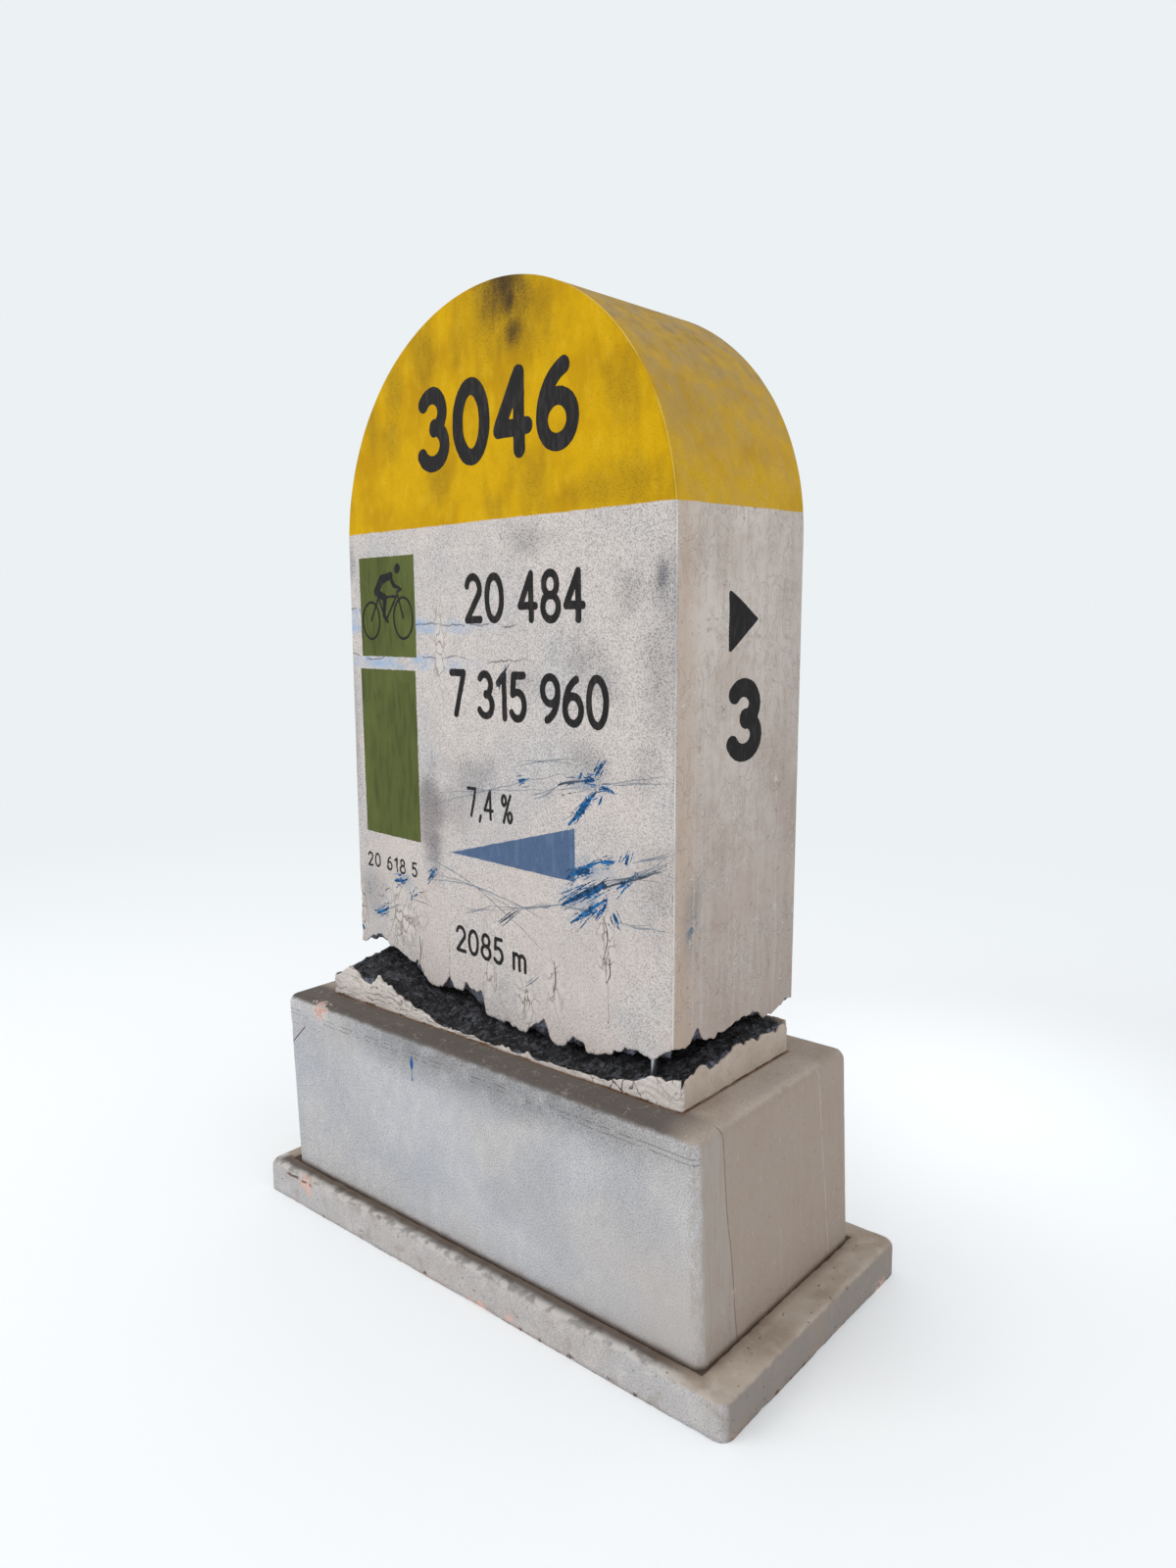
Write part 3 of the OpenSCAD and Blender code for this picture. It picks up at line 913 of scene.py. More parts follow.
    # the two level cracks, and the hairlines that rise from the break
    bend = p.drift(30, 5, 5) + p.drift(7, 1.2, 4)
    level = up + bend
    upper_hair = band(level, 537, 0.05, 0.75)
    lower_hair = band(level, 509, 0.05, 0.65)
    side_hair = band(level, 552, 0.05, 0.65) * fade(p.x, -150, -178)
    hair = peak(upper_hair, lower_hair, side_hair) * fade(p.x, 76, 20)
    hair = hair * fade(p.noise(24, 3), 0.42, 0.5) * (1 - green) * front
    colour.lay(CRACK_BLUE, hair * 0.75)
    lean = p.x + bend
    rising = peak(*(band(lean, at, 0.02, 0.55) for at in (-140, -98, -58, -12, 46, 138)))
    rising = rising * fade(up, 286, 240) * front
    rising = rising * fade(p.noise(12, 2), 0.5, 0.56)
    colour.lay(CRACK_BROWN, rising * 0.7)
    # pale ridges down the right side, raised by bump, with a painted highlight along them
    ridge_y = p.y + p.drift(60, 1.6) + p.drift(9, 0.5)
    ridges = peak(*(band(ridge_y, at, 0.05, 0.8) for at in (-50, -41, -10, 24, 47)))
    ridges = ridges * right * fade(p.noise(40, 3, stretch=(1, 1, 3)), 0.4, 0.5) * (1 - head)
    colour.lay((218, 209, 201), ridges * 0.45)

    # creased and flaking coat at the lower left and along the break, with painted shade in the crease lines
    flaking = (1 - green) * p.blobs(floor_spots(
        (-130, 270, 50, 50), (-198, 270, 16, 48), (136, 298, 16, 50), (43, 236, 24, 34), (78, 256, 14, 40),
        (-4, 250, 12, 34), (-60, 520, 14, 60),
    ), fine_breakup, 1.1)
    crazed = p.crazing(10, 0.65, stretch=(1, 1, 1.8), turn=0.35) * flaking * front * (1 - head)
    colour.lay((212, 205, 198), flaking * front * 0.7)
    # brown crazed lines in the creases: painted shade, also pressed in by bump
    colour.lay((116, 100, 92), crazed * 0.75)
    torn = fade(p.z, 34, 8) * p.crazing(9, 0.5) * fade(fine_breakup, 0.44, 0.54)
    colour.lay((150, 120, 106), torn * 0.6)

    # crinkles of a coat laid on by hand, raised by bump, with a painted highlight along them
    crinkle_and_highlight = p.noise(11, 4, stretch=(1, 1, 1.7), distortion=0.8)
    crinkle_and_highlight = fade(abs(crinkle_and_highlight - 0.5), 0.03, 0)
    crinkle_and_highlight = crinkle_and_highlight * (1 - front) * fade(breakup, 0.34, 0.54) * (1 - head * 0.9)
    colour.lay((222, 213, 205), crinkle_and_highlight * 0.45)

    # painted highlight: a thin bright line along the arrises
    outer = peak(fade(p.x, HALF_W - 12, HALF_W - 8), fade(p.z, SPRING_Z, SPRING_Z + 20))
    edge_y = p.y + p.drift(20, 0.3)
    arris = band(edge_y, -HALF_D + 1.9, 0.3, 0.5) * outer * (0.4 + fade(breakup, 0.4, 0.6))
    colour.lay(mix((232, 224, 216), (232, 200, 110), head), arris * 0.6)

    height = grain * 0.45 + p.noise(6, 3, stretch=(1, 1, 2)) * 0.8
    runs = streak * 0.9 + p.noise(2.6, 3, stretch=(1, 1, 5)) * 0.9
    height = height + runs * (0.3 + (1 - front) * 0.9) + ridges * 0.8 + crinkle_and_highlight * 2
    height = height - peak(hair, rising, crazed, torn, pits * 0.4) * 1.6
    return p.finish(colour, height, depth=0.7, strength=0.65)


def stub_material():
    """The stub's coat: pale and crazed at the front, with dirt along its foot."""
    p = Paint("stub_coat")
    front = front_mask(p)
    colour, grain = pale_coat(p, 0.35, 1, cool=(208, 200, 194), pale=(222, 213, 206))
    side, streak = taupe_coat(p, grain, (190, 176, 163), (192, 178, 165), 0.1)
    colour = mix(side, colour, front)
    patches, broken = p.noise(26, 3), fade(p.noise(7, 3), 0.38, 0.48)
    right_part = 0.15 + fade(p.x, 80, 130) * front * 0.85
    blocky = p.crazing(15, 0.6, stretch=(0.9, 1, 1.5), turn=0.12) * right_part
    layer_h, layer_z = 4.6, p.z + p.drift(24, 5.5) + p.drift(8, 1.3)
    layers = band(calc("FRACT", layer_z * (1 / layer_h)), 0.5, 0.04, 0.12)
    layers = layers * front * fade(p.x, 130, 80)
    lines = peak(blocky, layers * 0.55) * broken * (0.4 + fade(patches, 0.42, 0.58))
    colour.lay((104, 88, 78), lines * 0.8)
    foot = fade(p.z + p.drift(10, 0.8), 1.8, 0.4) * (0.25 + fade(patches, 0.45, 0.6))
    colour.lay((104, 80, 62), foot * 0.8)
    height = grain * 0.4 + p.noise(5, 3) * 0.8 + streak * 0.2
    return p.finish(colour, height - lines * 1.3, depth=0.8, strength=0.8)


def core_material(name):
    """Torn black core, slate grey where it shows beside the coat, with painted highlights on its lumps and
    painted shade in its crevices and cracks.
    """
    p = Paint(name, roughness=0.8, specular=0.25)
    rough = p.noise(11, 6)
    core_cracks_and_shade = p.crazing(6, 0.6)
    # painted highlights where the lumps rise, painted shade in dark crevices, pale specks as painted glints,
    # and painted shade in the cracks
    colour = mix((42, 42, 44), (70, 70, 74), fade(rough, 0.5, 0.64))
    colour.lay((22, 22, 24), fade(p.noise(8, 5), 0.53, 0.64))
    colour.lay((116, 116, 122), fade(p.noise(3.4, 6), 0.58, 0.64) * 0.42)
    colour.lay((14, 14, 15), core_cracks_and_shade * 0.6)
    wall_x = fade(abs(p.x), HALF_W - 5, HALF_W - 3)
    wall_y = fade(abs(p.y), HALF_D - 5, HALF_D - 3)
    slate = mix((104, 107, 120), (60, 61, 70), fade(p.noise(5, 3), 0.44, 0.6))
    colour.lay(slate, peak(wall_x, wall_y) * fade(p.noise(14, 3), 0.36, 0.48))
    # paler patches, raised by bump, as painted highlights on the lumps
    patches = p.noise(9, 5, distortion=0.7)
    colour.lay((94, 94, 101), fade(patches, 0.54, 0.62) * 0.55)
    height = rough + p.noise(2.5, 4) * 0.5 + patches * 0.8 + core_cracks_and_shade * -0.5
    return p.finish(colour, height, depth=1.6, strength=1)


def block_sizes(low, high):
    """Half the width, half the depth, and the height of a block."""
    w, d, h = high - low
    return w / 2, d / 2, h


def footprint_gap(p, low, high, place):
    """How far a point lies outside the box from low to high, measured level. place is the piece's origin."""
    gaps = []
    for axis, lowest, highest, origin in ((p.x, low.x, high.x, place.x), (p.y, low.y, high.y, place.y)):
        centre, reach = (lowest + highest) / 2 - origin, (highest - lowest) / 2
        gaps.append(abs(axis - centre) - reach)
    return peak(*gaps)


def pedestal_material():
    """The pedestal: cool sprayed front, darker under its top edge, plain taupe ends, and a dusty top."""
    p = Paint("pedestal_coat")
    half_w, half_d, tall = block_sizes(PEDESTAL_LOW, PEDESTAL_HIGH)
    front = fade(p.y + p.drift(16, 1.6), -half_d + 8, -half_d + 3)
    colour, grain = pale_coat(p, 0.55, 0.45, cool=(186, 188, 193), pale=(188, 187, 188))
    side, streak = taupe_coat(p, grain, (160, 146, 136), (164, 150, 139), 0.04)
    pits = dents(p)
    side.lay((128, 110, 96), pits * 0.35)
    # the strip next to the front arris is paler, up to a brown hairline
    lean = p.y + p.drift(50, 2) + p.z * 0.09
    strip = fade(lean, -60, -66) * fade(p.x, half_w - 16, half_w - 8)
    runs = fade(p.noise(4, 3, stretch=(1, 1, 8)), 0.36, 0.6)
    side.lay((166, 158, 151), strip * (0.25 + runs * 0.6))
    colour = mix(side, colour, front)
    breakup, fine_breakup = p.noise(60, 5), p.noise(12, 4)
    smudge = p.blobs((
        (-205, 104, 60, 70), (-160, 84, 70, 66), (-130, 38, 64, 50), (-60, 44, 70, 34), (94, 74, 44, 70),
        (170, 108, 56, 60), (20, 140, 90, 26), (-230, 60, 20, 90), (40, 60, 40, 40),
    ), breakup, 2.2)
    colour.lay((152, 156, 168), smudge * front * 0.3)
    colour.lay((112, 114, 120), smudge * front * fade(grain, 0.52, 0.66) * 0.3)
    warmed = fade(p.x, 60, 240) * fade(p.z, 130, 30) * front
    colour.lay((182, 174, 168), warmed * 0.6)
    # darker under the top edge, and the dusty top
    wandering_height = p.z + p.drift(30, 5)
    under = fade(wandering_height, tall - 46, tall - 8) * front * fade(fine_breakup, 0, 0.6)
    under = under * fade(abs(p.x - 30), 250, 90)
    colour.lay((112, 112, 114), under * 0.6)
    colour.lay((74, 72, 72), under * fade(grain, 0.48, 0.62) * 0.4)
    line_z = p.z + p.drift(60, 1.6)
    line = peak(band(line_z, tall - 13, 0.05, 0.7), band(line_z, tall - 17, 0.05, 0.6))
    line = line * front * fade(fine_breakup, 0.48, 0.56)
    colour.lay((84, 82, 82), line * 0.5)
    top = fade(p.z + p.drift(9, 0.8), tall - 5, tall - 1.5)
    top_colour = mix((182, 170, 159), (164, 150, 138), fade(breakup, 0.4, 0.62))
    front_strip = fade(p.y + p.drift(20, 1), -half_d + 42, -half_d + 30)
    right_strip = fade(p.x, half_w - 46, half_w - 8)
    top_colour.lay((94, 88, 84), front_strip * (1 - right_strip) * 0.94)
    edge_strip = fade(p.y, -half_d + 14, -half_d + 5)
    top_colour.lay((86, 80, 77), edge_strip * (1 - right_strip) * 0.5)
    top_colour.lay((122, 112, 104), fade(grain, 0.5, 0.66) * 0.35)
    gap = footprint_gap(p, STUB_LOW, STUB_HIGH, middle_of(PEDESTAL_LOW, PEDESTAL_HIGH))
    dirt = fade(gap + p.drift(8, 0.6), 2.6, 0.3)
    top_colour.lay((116, 84, 58), dirt * 0.85)
    colour.lay(top_colour, top)
    # hairlines down the right side
    right = fade(p.x, half_w - 14, half_w - 8)
    brown = band(lean, -63, 0.1, 0.9) * right
    pale_line = band(lean, 72, 0.1, 0.8) * right * fade(fine_breakup, 0.36, 0.46)
    colour.lay((118, 92, 74), brown * 0.7)
    colour.lay((206, 196, 186), pale_line * 0.6)
    # crinkles raised by bump, with a painted highlight along them
    crinkle_and_highlight = p.noise(12, 4, stretch=(1, 1, 1.8), distortion=0.8)
    crinkle_and_highlight = fade(abs(crinkle_and_highlight - 0.5), 0.02, 0)
    crinkle_and_highlight = crinkle_and_highlight * (1 - front * 0.85) * fade(fine_breakup, 0.46, 0.56)
    colour.lay((192, 180, 170), crinkle_and_highlight * 0.45)
    # dirt with painted shade along the foot, at the joint above the plinth, and the bare arris
    foot = fade(p.z + p.drift(12, 2.5), 7, 0.5)
    colour.lay(DIRT_AND_JOINT_SHADE, foot * 0.5)
    lower_x = p.x + p.z * (5 / 166)
    arris = band(lower_x, half_w, 6, 5) * band(p.y, -half_d, 6, 5)
    arris = arris * fade(p.noise(4, 4, stretch=(1, 1, 2.4)), 0.44, 0.64)
    colour.lay((168, 158, 149), arris * 0.5)
    # a chip down to the pale foam, a scratch and a blue stroke
    chip_noise = p.noise(4, 4)
    chip = p.blobs(((-186, tall - 7, 11, 10),), chip_noise, 3.6, 0.2) * fade(p.y, -half_d + 12, -half_d + 8)
    colour.lay((214, 198, 190), fade(chip, 0, 0.3) * 0.75)
    colour.lay((192, 142, 130), fade(chip, 0.5, 1) * 0.7)
    drop_top, drop_foot = tall - 15, tall - 38
    belly = band(p.z, drop_top - 7, 1, 6) * 1.8
    thin = belly + band(p.z, drop_foot + 2.5, 0.6, 1.2) * 0.5 + 0.35
    stroke_gap = thin - abs(p.x + 58)
    stroke = fade(stroke_gap, -0.2, 0.3) * band(p.z, (drop_top + drop_foot) / 2, 11, 1) * front
    colour.lay((26, 84, 146), stroke * 0.95)
    slant = p.z + p.x * -0.95
    scratch = band(slant, 338, 0.4, 0.8) * band(p.x, -220, 9, 4) * front
    colour.lay((74, 70, 70), scratch * 0.9)
    height = grain * 0.35 + p.noise(9, 3) * 0.8 + streak * 0.05 + peak(pale_line, crinkle_and_highlight) * 1.2
    height = height - peak(brown, line, scratch, chip, pits * 0.5) * 0.9
    return p.finish(colour, height, depth=0.7, strength=0.5)


def plinth_material():
    """The plinth: cool front, dirty top with a darker strip before the pedestal, painted shade with a painted
    highlight at its edge, chipped foot.
    """
    p = Paint("plinth_coat")
    half_w, half_d, tall = block_sizes(PLINTH_LOW, PLINTH_HIGH)
    front = fade(p.y, -half_d + 8, -half_d + 3)
    colour, grain = pale_coat(p, 0.4, 0.5, cool=(182, 180, 181), pale=(182, 177, 175))
    side, streak = taupe_coat(p, grain, (142, 134, 127), (142, 135, 130), 0.04)
    colour = mix(side, colour, front)
    breakup, fine_breakup = p.noise(40, 5), p.noise(10, 4)
    blots = fade(p.noise(16, 4), 0.54, 0.68)
    colour.lay((150, 138, 130), blots * front * 0.4)
    top = fade(p.z + p.drift(9, 0.7), tall - 3.4, tall - 1)
    top_colour = mix((182, 169, 156), (164, 149, 135), fade(breakup, 0.36, 0.66))
    top_colour.lay((196, 186, 174), fade(fine_breakup, 0.5, 0.34) * 0.3)
    # the strip before the pedestal is darker, as painted shade towards the pedestal's foot, with a painted
    # highlight along its front edge, and dirt gathers against the pedestal's foot, with painted shade in the
    # corner
    gap = footprint_gap(p, PEDESTAL_LOW, PEDESTAL_HIGH, middle_of(PLINTH_LOW, PLINTH_HIGH))
    gap = gap + p.drift(14, 1.5)
    strip = fade(p.y, PEDESTAL_LOW.y + 4, PEDESTAL_LOW.y - 1)
    strip_shade_and_highlight = mix((106, 100, 96), (198, 193, 189), fade(gap, 5, 13))
    strip_shade_and_highlight.lay((78, 72, 68), fade(fine_breakup, 0.46, 0.6) * 0.5)
    right_end = fade(p.x, half_w - 70, half_w - 24)
    top_colour.lay(strip_shade_and_highlight, strip * (1 - right_end * 0.8))
    top_colour.lay(DIRT_AND_JOINT_SHADE, fade(gap, 9, 0.5) * 0.5)
    top_colour.lay(DARK_DIRT_AND_JOINT_SHADE, fade(gap, 1.6, 0.2) * 0.85)
    colour.lay(top_colour, top)
    # specks, pits, and the chipped foot with foam behind the coat
    pits = fade(p.noise(3.6, 3), 0.67, 0.73)
    colour.lay((92, 76, 66), pits * 0.7)
    foot = fade(p.z + p.drift(10, 3), 4, 0.5)
    colour.lay((188, 158, 146), foot * fade(breakup, 0.5, 0.62) * 0.6)
    colour.lay((94, 74, 62), foot * fade(fine_breakup, 0.58, 0.66))
    chip_noise = p.noise(4, 4)
    places = ((-203, tall - 5, 13, 6), (-197, tall - 12, 7, 7), (30, 3, 13, 4), (62, 5, 6, 5))
    chips = p.blobs(places, chip_noise, 3, 0.4)
    end = band(p.y, 96, 6, 8) * fade(p.z, 9, 3) * fade(p.x, half_w - 5, half_w - 2)
    chips = peak(chips * front, end * fade(chip_noise, 0.42, 0.52))
    colour.lay(FOAM_PINK, chips * 0.85)
    scrape = band(p.z + p.drift(9, 1), tall - 4.5, 0.4, 1.2)
    scrape = scrape * band(p.x, -212, 16, 6) * front * fade(fine_breakup, 0.42, 0.52)
    colour.lay((86, 62, 56), scrape * 0.85)
    height = grain * 0.35 + p.noise(7, 4) * 0.9
    height = height - peak(pits, chips, scrape) * 0.9
    return p.finish(colour, height, depth=0.8, strength=0.6)


def sign_paint_material():
    p = Paint("sign_paint", roughness=0.6, specular=0.15)
    brush = p.noise(3, 3, stretch=(1, 1, 4))
    colour = mix((26, 24, 25), (46, 42, 41), fade(brush, 0.46, 0.7))
    return p.finish(colour, brush, depth=0.2, strength=0.4)


def scuff_material(name, deep, light):
    p = Paint(name)
    rubbed = p.noise(2.4, 3, stretch=(3, 1, 1), turn=math.radians(-25))
    return p.finish(mix(deep, light, fade(rubbed, 0.42, 0.62)))


def steel_material():
    p = Paint("rod_steel", roughness=0.3, specular=0.5, metallic=1)
    lines = p.noise(0.5, 2, stretch=(12, 12, 1))
    return p.finish(mix((196, 200, 206), (150, 155, 162), lines), lines, depth=0.05, strength=0.2)


# Painted signs: thin solids laid on the coat

PAINT_LIFT = 0.16
PAINT_SINK = 0.34
FOLD_LIFT = 0.55
SHADE_LIFT = 0.12
SIDE_MARGIN = 3
SIGN_SEED = 91
FAR = 1000.0
# Where the rays that find the coat start, before the front and beyond the right side
FRONT_START = -100
RIGHT_START = 300


def arc(cx, cy, rx, ry, start, end, count=15):
    turn = np.radians(np.linspace(start, end, count))
    return [(cx + rx * math.cos(t), cy + ry * math.sin(t)) for t in turn]


def oval(cx, cy, rx, ry, count=15):
    return arc(cx, cy, rx, ry, 0, 360, count)


# Each figure as its width and its pen strokes, for a height of 1
FIGURES = {
    "0": (0.60, [oval(0.30, 0.5, 0.30, 0.5, 29)]),
    "1": (0.26, [[(0, 0.80), (0.24, 1), (0.24, 0)]]),
    "2": (0.56, [arc(0.28, 0.73, 0.27, 0.27, 165, -38) + [(0, 0), (0.56, 0)]]),
    "3": (0.54, [arc(0.24, 0.75, 0.25, 0.25, 145, -80), arc(0.24, 0.27, 0.29, 0.27, 80, -150)]),
    "4": (0.58, [[(0.42, 0), (0.42, 1), (0, 0.30), (0.58, 0.30)]]),
    "5": (0.54, [[(0.50, 1), (0.10, 1), (0.06, 0.56)] + arc(0.24, 0.31, 0.29, 0.31, 125, -145)]),
    "6": (0.58, [oval(0.29, 0.30, 0.29, 0.30, 25), arc(0.60, 0.32, 0.60, 0.68, 178, 108)]),
    "7": (0.54, [[(0, 1), (0.54, 1), (0.18, 0)]]),
    "8": (0.56, [oval(0.28, 0.76, 0.23, 0.24, 21), oval(0.28, 0.27, 0.28, 0.27, 23)]),
    "9": (0.58, [oval(0.29, 0.70, 0.29, 0.30, 25), arc(-0.02, 0.68, 0.60, 0.68, -2, -72)]),
    ",": (0.10, [[(0.08, 0.06), (0, -0.14)]]),
    "%": (0.66, [oval(0.13, 0.76, 0.13, 0.17), oval(0.53, 0.19, 0.13, 0.17), [(0.56, 0.95), (0.10, 0)]]),
    "m": (0.72, [
        [(0, 0.62), (0, 0)],
        arc(0.18, 0.42, 0.18, 0.2, 180, 0) + [(0.36, 0)], arc(0.54, 0.42, 0.18, 0.2, 180, 0) + [(0.72, 0)],
    ]),
    " ": (0.16, []),
}


def written(text, low, high, pen, spacing):
    """Pen strokes of a row of figures that fills the box from low to high on the face."""
    strokes, cursor = [], 0
    for letter in text:
        width, lines = FIGURES[letter]
        strokes += [[(cursor + x, y) for x, y in line] for line in lines]
        cursor += width + spacing
    low, high = np.array((low, high))
    foot = low + pen / 2
    scale = (high - low - pen) / (cursor - spacing, 1)
    return [(foot + np.array(stroke) * scale, [pen] * len(stroke)) for stroke in strokes]


def filled_cells(xs, zs, field):
    """The part of a grid where the field is below zero, as flat vertices and faces."""
    verts, index, faces = [], {}, []

    def vertex(key, place):
        if key not in index:
            index[key] = len(verts)
            verts.append(place)
        return index[key]

    inside = field < 0
    touched = inside[:-1, :-1] | inside[1:, :-1] | inside[:-1, 1:] | inside[1:, 1:]
    for j, i in zip(*(n.tolist() for n in np.nonzero(touched))):
        corners = ((j, i), (j, i + 1), (j + 1, i + 1), (j + 1, i))
        face = []
        for a, b in zip(corners, corners[1:] + corners[:1]):
            value_a, value_b = field[a], field[b]
            if value_a < 0:
                face.append(vertex(a, (xs[a[1]], zs[a[0]])))
            if (value_a < 0) != (value_b < 0):
                t = min(0.92, max(0.08, value_a / (value_a - value_b)))
                if b < a:
                    t = min(0.92, max(0.08, 1 - value_b / (value_b - value_a)))
                place = (xs[a[1]] + (xs[b[1]] - xs[a[1]]) * t, zs[a[0]] + (zs[b[0]] - zs[a[0]]) * t)
                face.append(vertex((min(a, b), max(a, b)), place))
        faces.append(face)
    return np.array(verts), faces


def stroke_field(strokes, cell, ragged):
    """Distance to the edge of the nearest stroke over a grid, below zero inside. ragged frays the edge."""
    places = np.concatenate([np.array(points) for points, widths in strokes])
    margin = max(max(widths) for points, widths in strokes) + 2 * cell
    low, high = places.min(0) - margin, places.max(0) + margin
    xs, zs = np.arange(low[0], high[0], cell), np.arange(low[1], high[1], cell)
    field = np.full((len(zs), len(xs)), FAR)
    for points, widths in strokes:
        for (ax, az), (bx, bz), wa, wb in zip(points, points[1:], widths, widths[1:]):
            reach = max(wa, wb) / 2 + 2 * cell + ragged
            i0, i1 = np.searchsorted(xs, (min(ax, bx) - reach, max(ax, bx) + reach))
            j0, j1 = np.searchsorted(zs, (min(az, bz) - reach, max(az, bz) + reach))
            gx, gz = np.meshgrid(xs[i0:i1], zs[j0:j1])
            length = max((bx - ax) ** 2 + (bz - az) ** 2, 1e-6)
            t = np.clip(((gx - ax) * (bx - ax) + (gz - az) * (bz - az)) / length, 0, 1)
            gap = np.hypot(gx - ax - t * (bx - ax), gz - az - t * (bz - az)) - (wa + (wb - wa) * t) / 2
            field[j0:j1, i0:i1] = np.minimum(field[j0:j1, i0:i1], gap)
    close = field < 2 * ragged + cell
    jj, ii = np.nonzero(close)
    field[close] += layered(level_places(xs[ii], zs[jj]), 3.2 * cell, 2, SIGN_SEED) * ragged
    return xs, zs, field


def lay_on_coat(flat, on_front):
    """Places of the front or the right side over flat coordinates, on the coat itself."""
    along, across = (0, 1) if on_front else (1, 0)
    outward = (0, -1, 0) if on_front else (1, 0, 0)
    origins = np.full((len(flat), 3), float(FRONT_START if on_front else RIGHT_START))
    origins[:, (along, 2)] = flat
    hits = [coat_tree.ray_cast(Vector(origin) * MM, -Vector(outward))[0] for origin in origins]
    lost = np.array([hit is None for hit in hits])
    places = np.array([origin if hit is None else np.array(hit) / MM for origin, hit in zip(origins, hits)])
    places[lost, across] = places[~lost, across].mean()
    return places, np.array(outward)


def painted(name, strokes, cell, on_front=True, ragged=0.12, shake=0.5, lift=PAINT_LIFT):
    """A thin solid of paint in the shape of the strokes."""
    flat, faces = filled_cells(*stroke_field(strokes, cell, ragged))
    at = level_places(*flat.T)
    flat = flat + np.column_stack([layered(at, 14, 2, SIGN_SEED + k) for k in (1, 2)]) * shake
    places, outward = lay_on_coat(flat, on_front)
    count = len(flat)
    edges = {(a, b): True for face in faces for a, b in zip(face, face[1:] + face[:1])}
    walls = [(a, b, b + count, a + count) for a, b in edges if (b, a) not in edges]
    backs = [[v + count for v in reversed(face)] for face in faces]
    verts = np.concatenate([places + outward * lift, places - outward * PAINT_SINK])
    return make_object(name, verts, faces + walls + backs, UPPER_FRAME, smooth=False)


def on_face(points):
    """Points given as (along the face, height above the floor), as the post's frame has them."""
    return [(x, z - POST_Z) for x, z in points]


def bicycle_strokes():
    """A plain rider on a bicycle: two wheels, a bent back, an arm, a leg and a head."""
    left, right = (-161.5, 541), (-111.5, 543)
    lines = (
        (oval(*left, 13.5, 16.5, 33), 2), (oval(*right, 14, 18, 33), 2),
        ([left, (-149, 561), (-121, 562)], 2.2), ([(-149, 561), (-138, 541), (-121, 562)], 2),
        ([right, (-120, 566), (-113, 568)], 2),
    )
    limbs = (
        ([(-152, 567), (-143, 577), (-129, 580)], [7, 8, 6]),
        ([(-130, 579), (-124, 571), (-116, 569)], [5, 4, 2.6]),
        ([(-152, 566), (-139, 561), (-141, 546), (-135, 540)], [7, 6.5, 4, 2.6]),
        ([(-119, 585), (-118, 586.5)], [7.5, 7.5]),
    )
    strokes = [(on_face(points), [width] * len(points)) for points, width in lines]
    return strokes + [(on_face(points), widths) for points, widths in limbs]


# Scuffs, each as start, bend and end (place along the front, height above the floor) and width
DEEP_SCUFFS = (
    ((98, 388), (116, 404), (127, 416), 4.5), ((114, 422), (120, 423), (126, 424), 3),
    ((126, 427), (131, 434), (138, 440), 1.8), ((125, 430), (126, 432), (128, 435), 1.8),
    ((109, 423), (111, 426), (112, 428), 2.4), ((130, 419), (138, 420), (146, 416), 1.2),
    ((130, 406), (132, 409), (133, 413), 2.4), ((95, 345), (107, 353), (132, 364), 3.2),
    ((132, 363), (138, 365), (145, 366), 3.4), ((156, 366), (158, 369), (160, 373), 2.8),
    ((88, 323), (109, 336), (136, 347), 4.5), ((113, 332), (126, 341), (137, 347), 2.8),
    ((99, 311), (119, 325), (136, 336), 3.1), ((125, 321), (138, 329), (137, 337), 1.2),
    ((144, 327), (146, 323), (149, 320), 3.6), ((146, 345), (154, 350), (168, 361), 1.5),
    ((40, 415), (44, 416), (48, 417), 2.8), ((-141, 303), (-130, 305), (-119, 308), 3),
    ((-134, 309), (-131, 310), (-128, 312), 2.2), ((-87, 313), (-81, 320), (-73, 327), 2),
    ((-114, 291), (-110, 296), (-104, 300), 1.5), ((-170, 267), (-161, 270), (-151, 276), 3.6),
    ((-197, 250), (-196, 248), (-195, 246), 2.6), ((103, 349), (112, 352), (124, 354), 1.6),
)
FINE_SCRATCHES = (
    ((149, 321), (170, 321), (196, 324), 0.8), ((41, 311), (67, 317), (88, 323), 1.1),
    ((88, 323), (101, 323), (118, 324), 1), ((138, 348), (163, 358), (192, 366), 1.6),
    ((163, 368), (182, 374), (198, 379), 0.7), ((158, 355), (179, 365), (198, 373), 0.7),
    ((-35, 293), (-16, 298), (4, 307), 1.1), ((4, 307), (37, 310), (73, 318), 0.8),
    ((-151, 276), (-141, 279), (-130, 282), 0.8), ((58, 402), (70, 406), (86, 415), 0.8),
    ((41, 427), (81, 437), (108, 438), 0.6), ((137, 422), (163, 424), (198, 429), 0.6),
    ((84, 412), (98, 415), (110, 417), 0.8), ((44, 247), (52, 252), (60, 259), 1.4),
    ((22, 607), (25, 605), (24, 602), 1.2), ((-86, 320), (-20, 326), (60, 300), 0.5),
    ((-80, 392), (0, 404), (84, 412), 0.5),
)
DARK_SCRATCHES = (
    ((86, 416), (98, 420), (114, 422), 2.4), ((12, 294), (25, 302), (37, 310), 1.8),
    ((132, 344), (160, 353), (190, 366), 2.2), ((100, 330), (120, 342), (138, 350), 2),
    ((18, 486), (22, 496), (27, 506), 1.4),
)
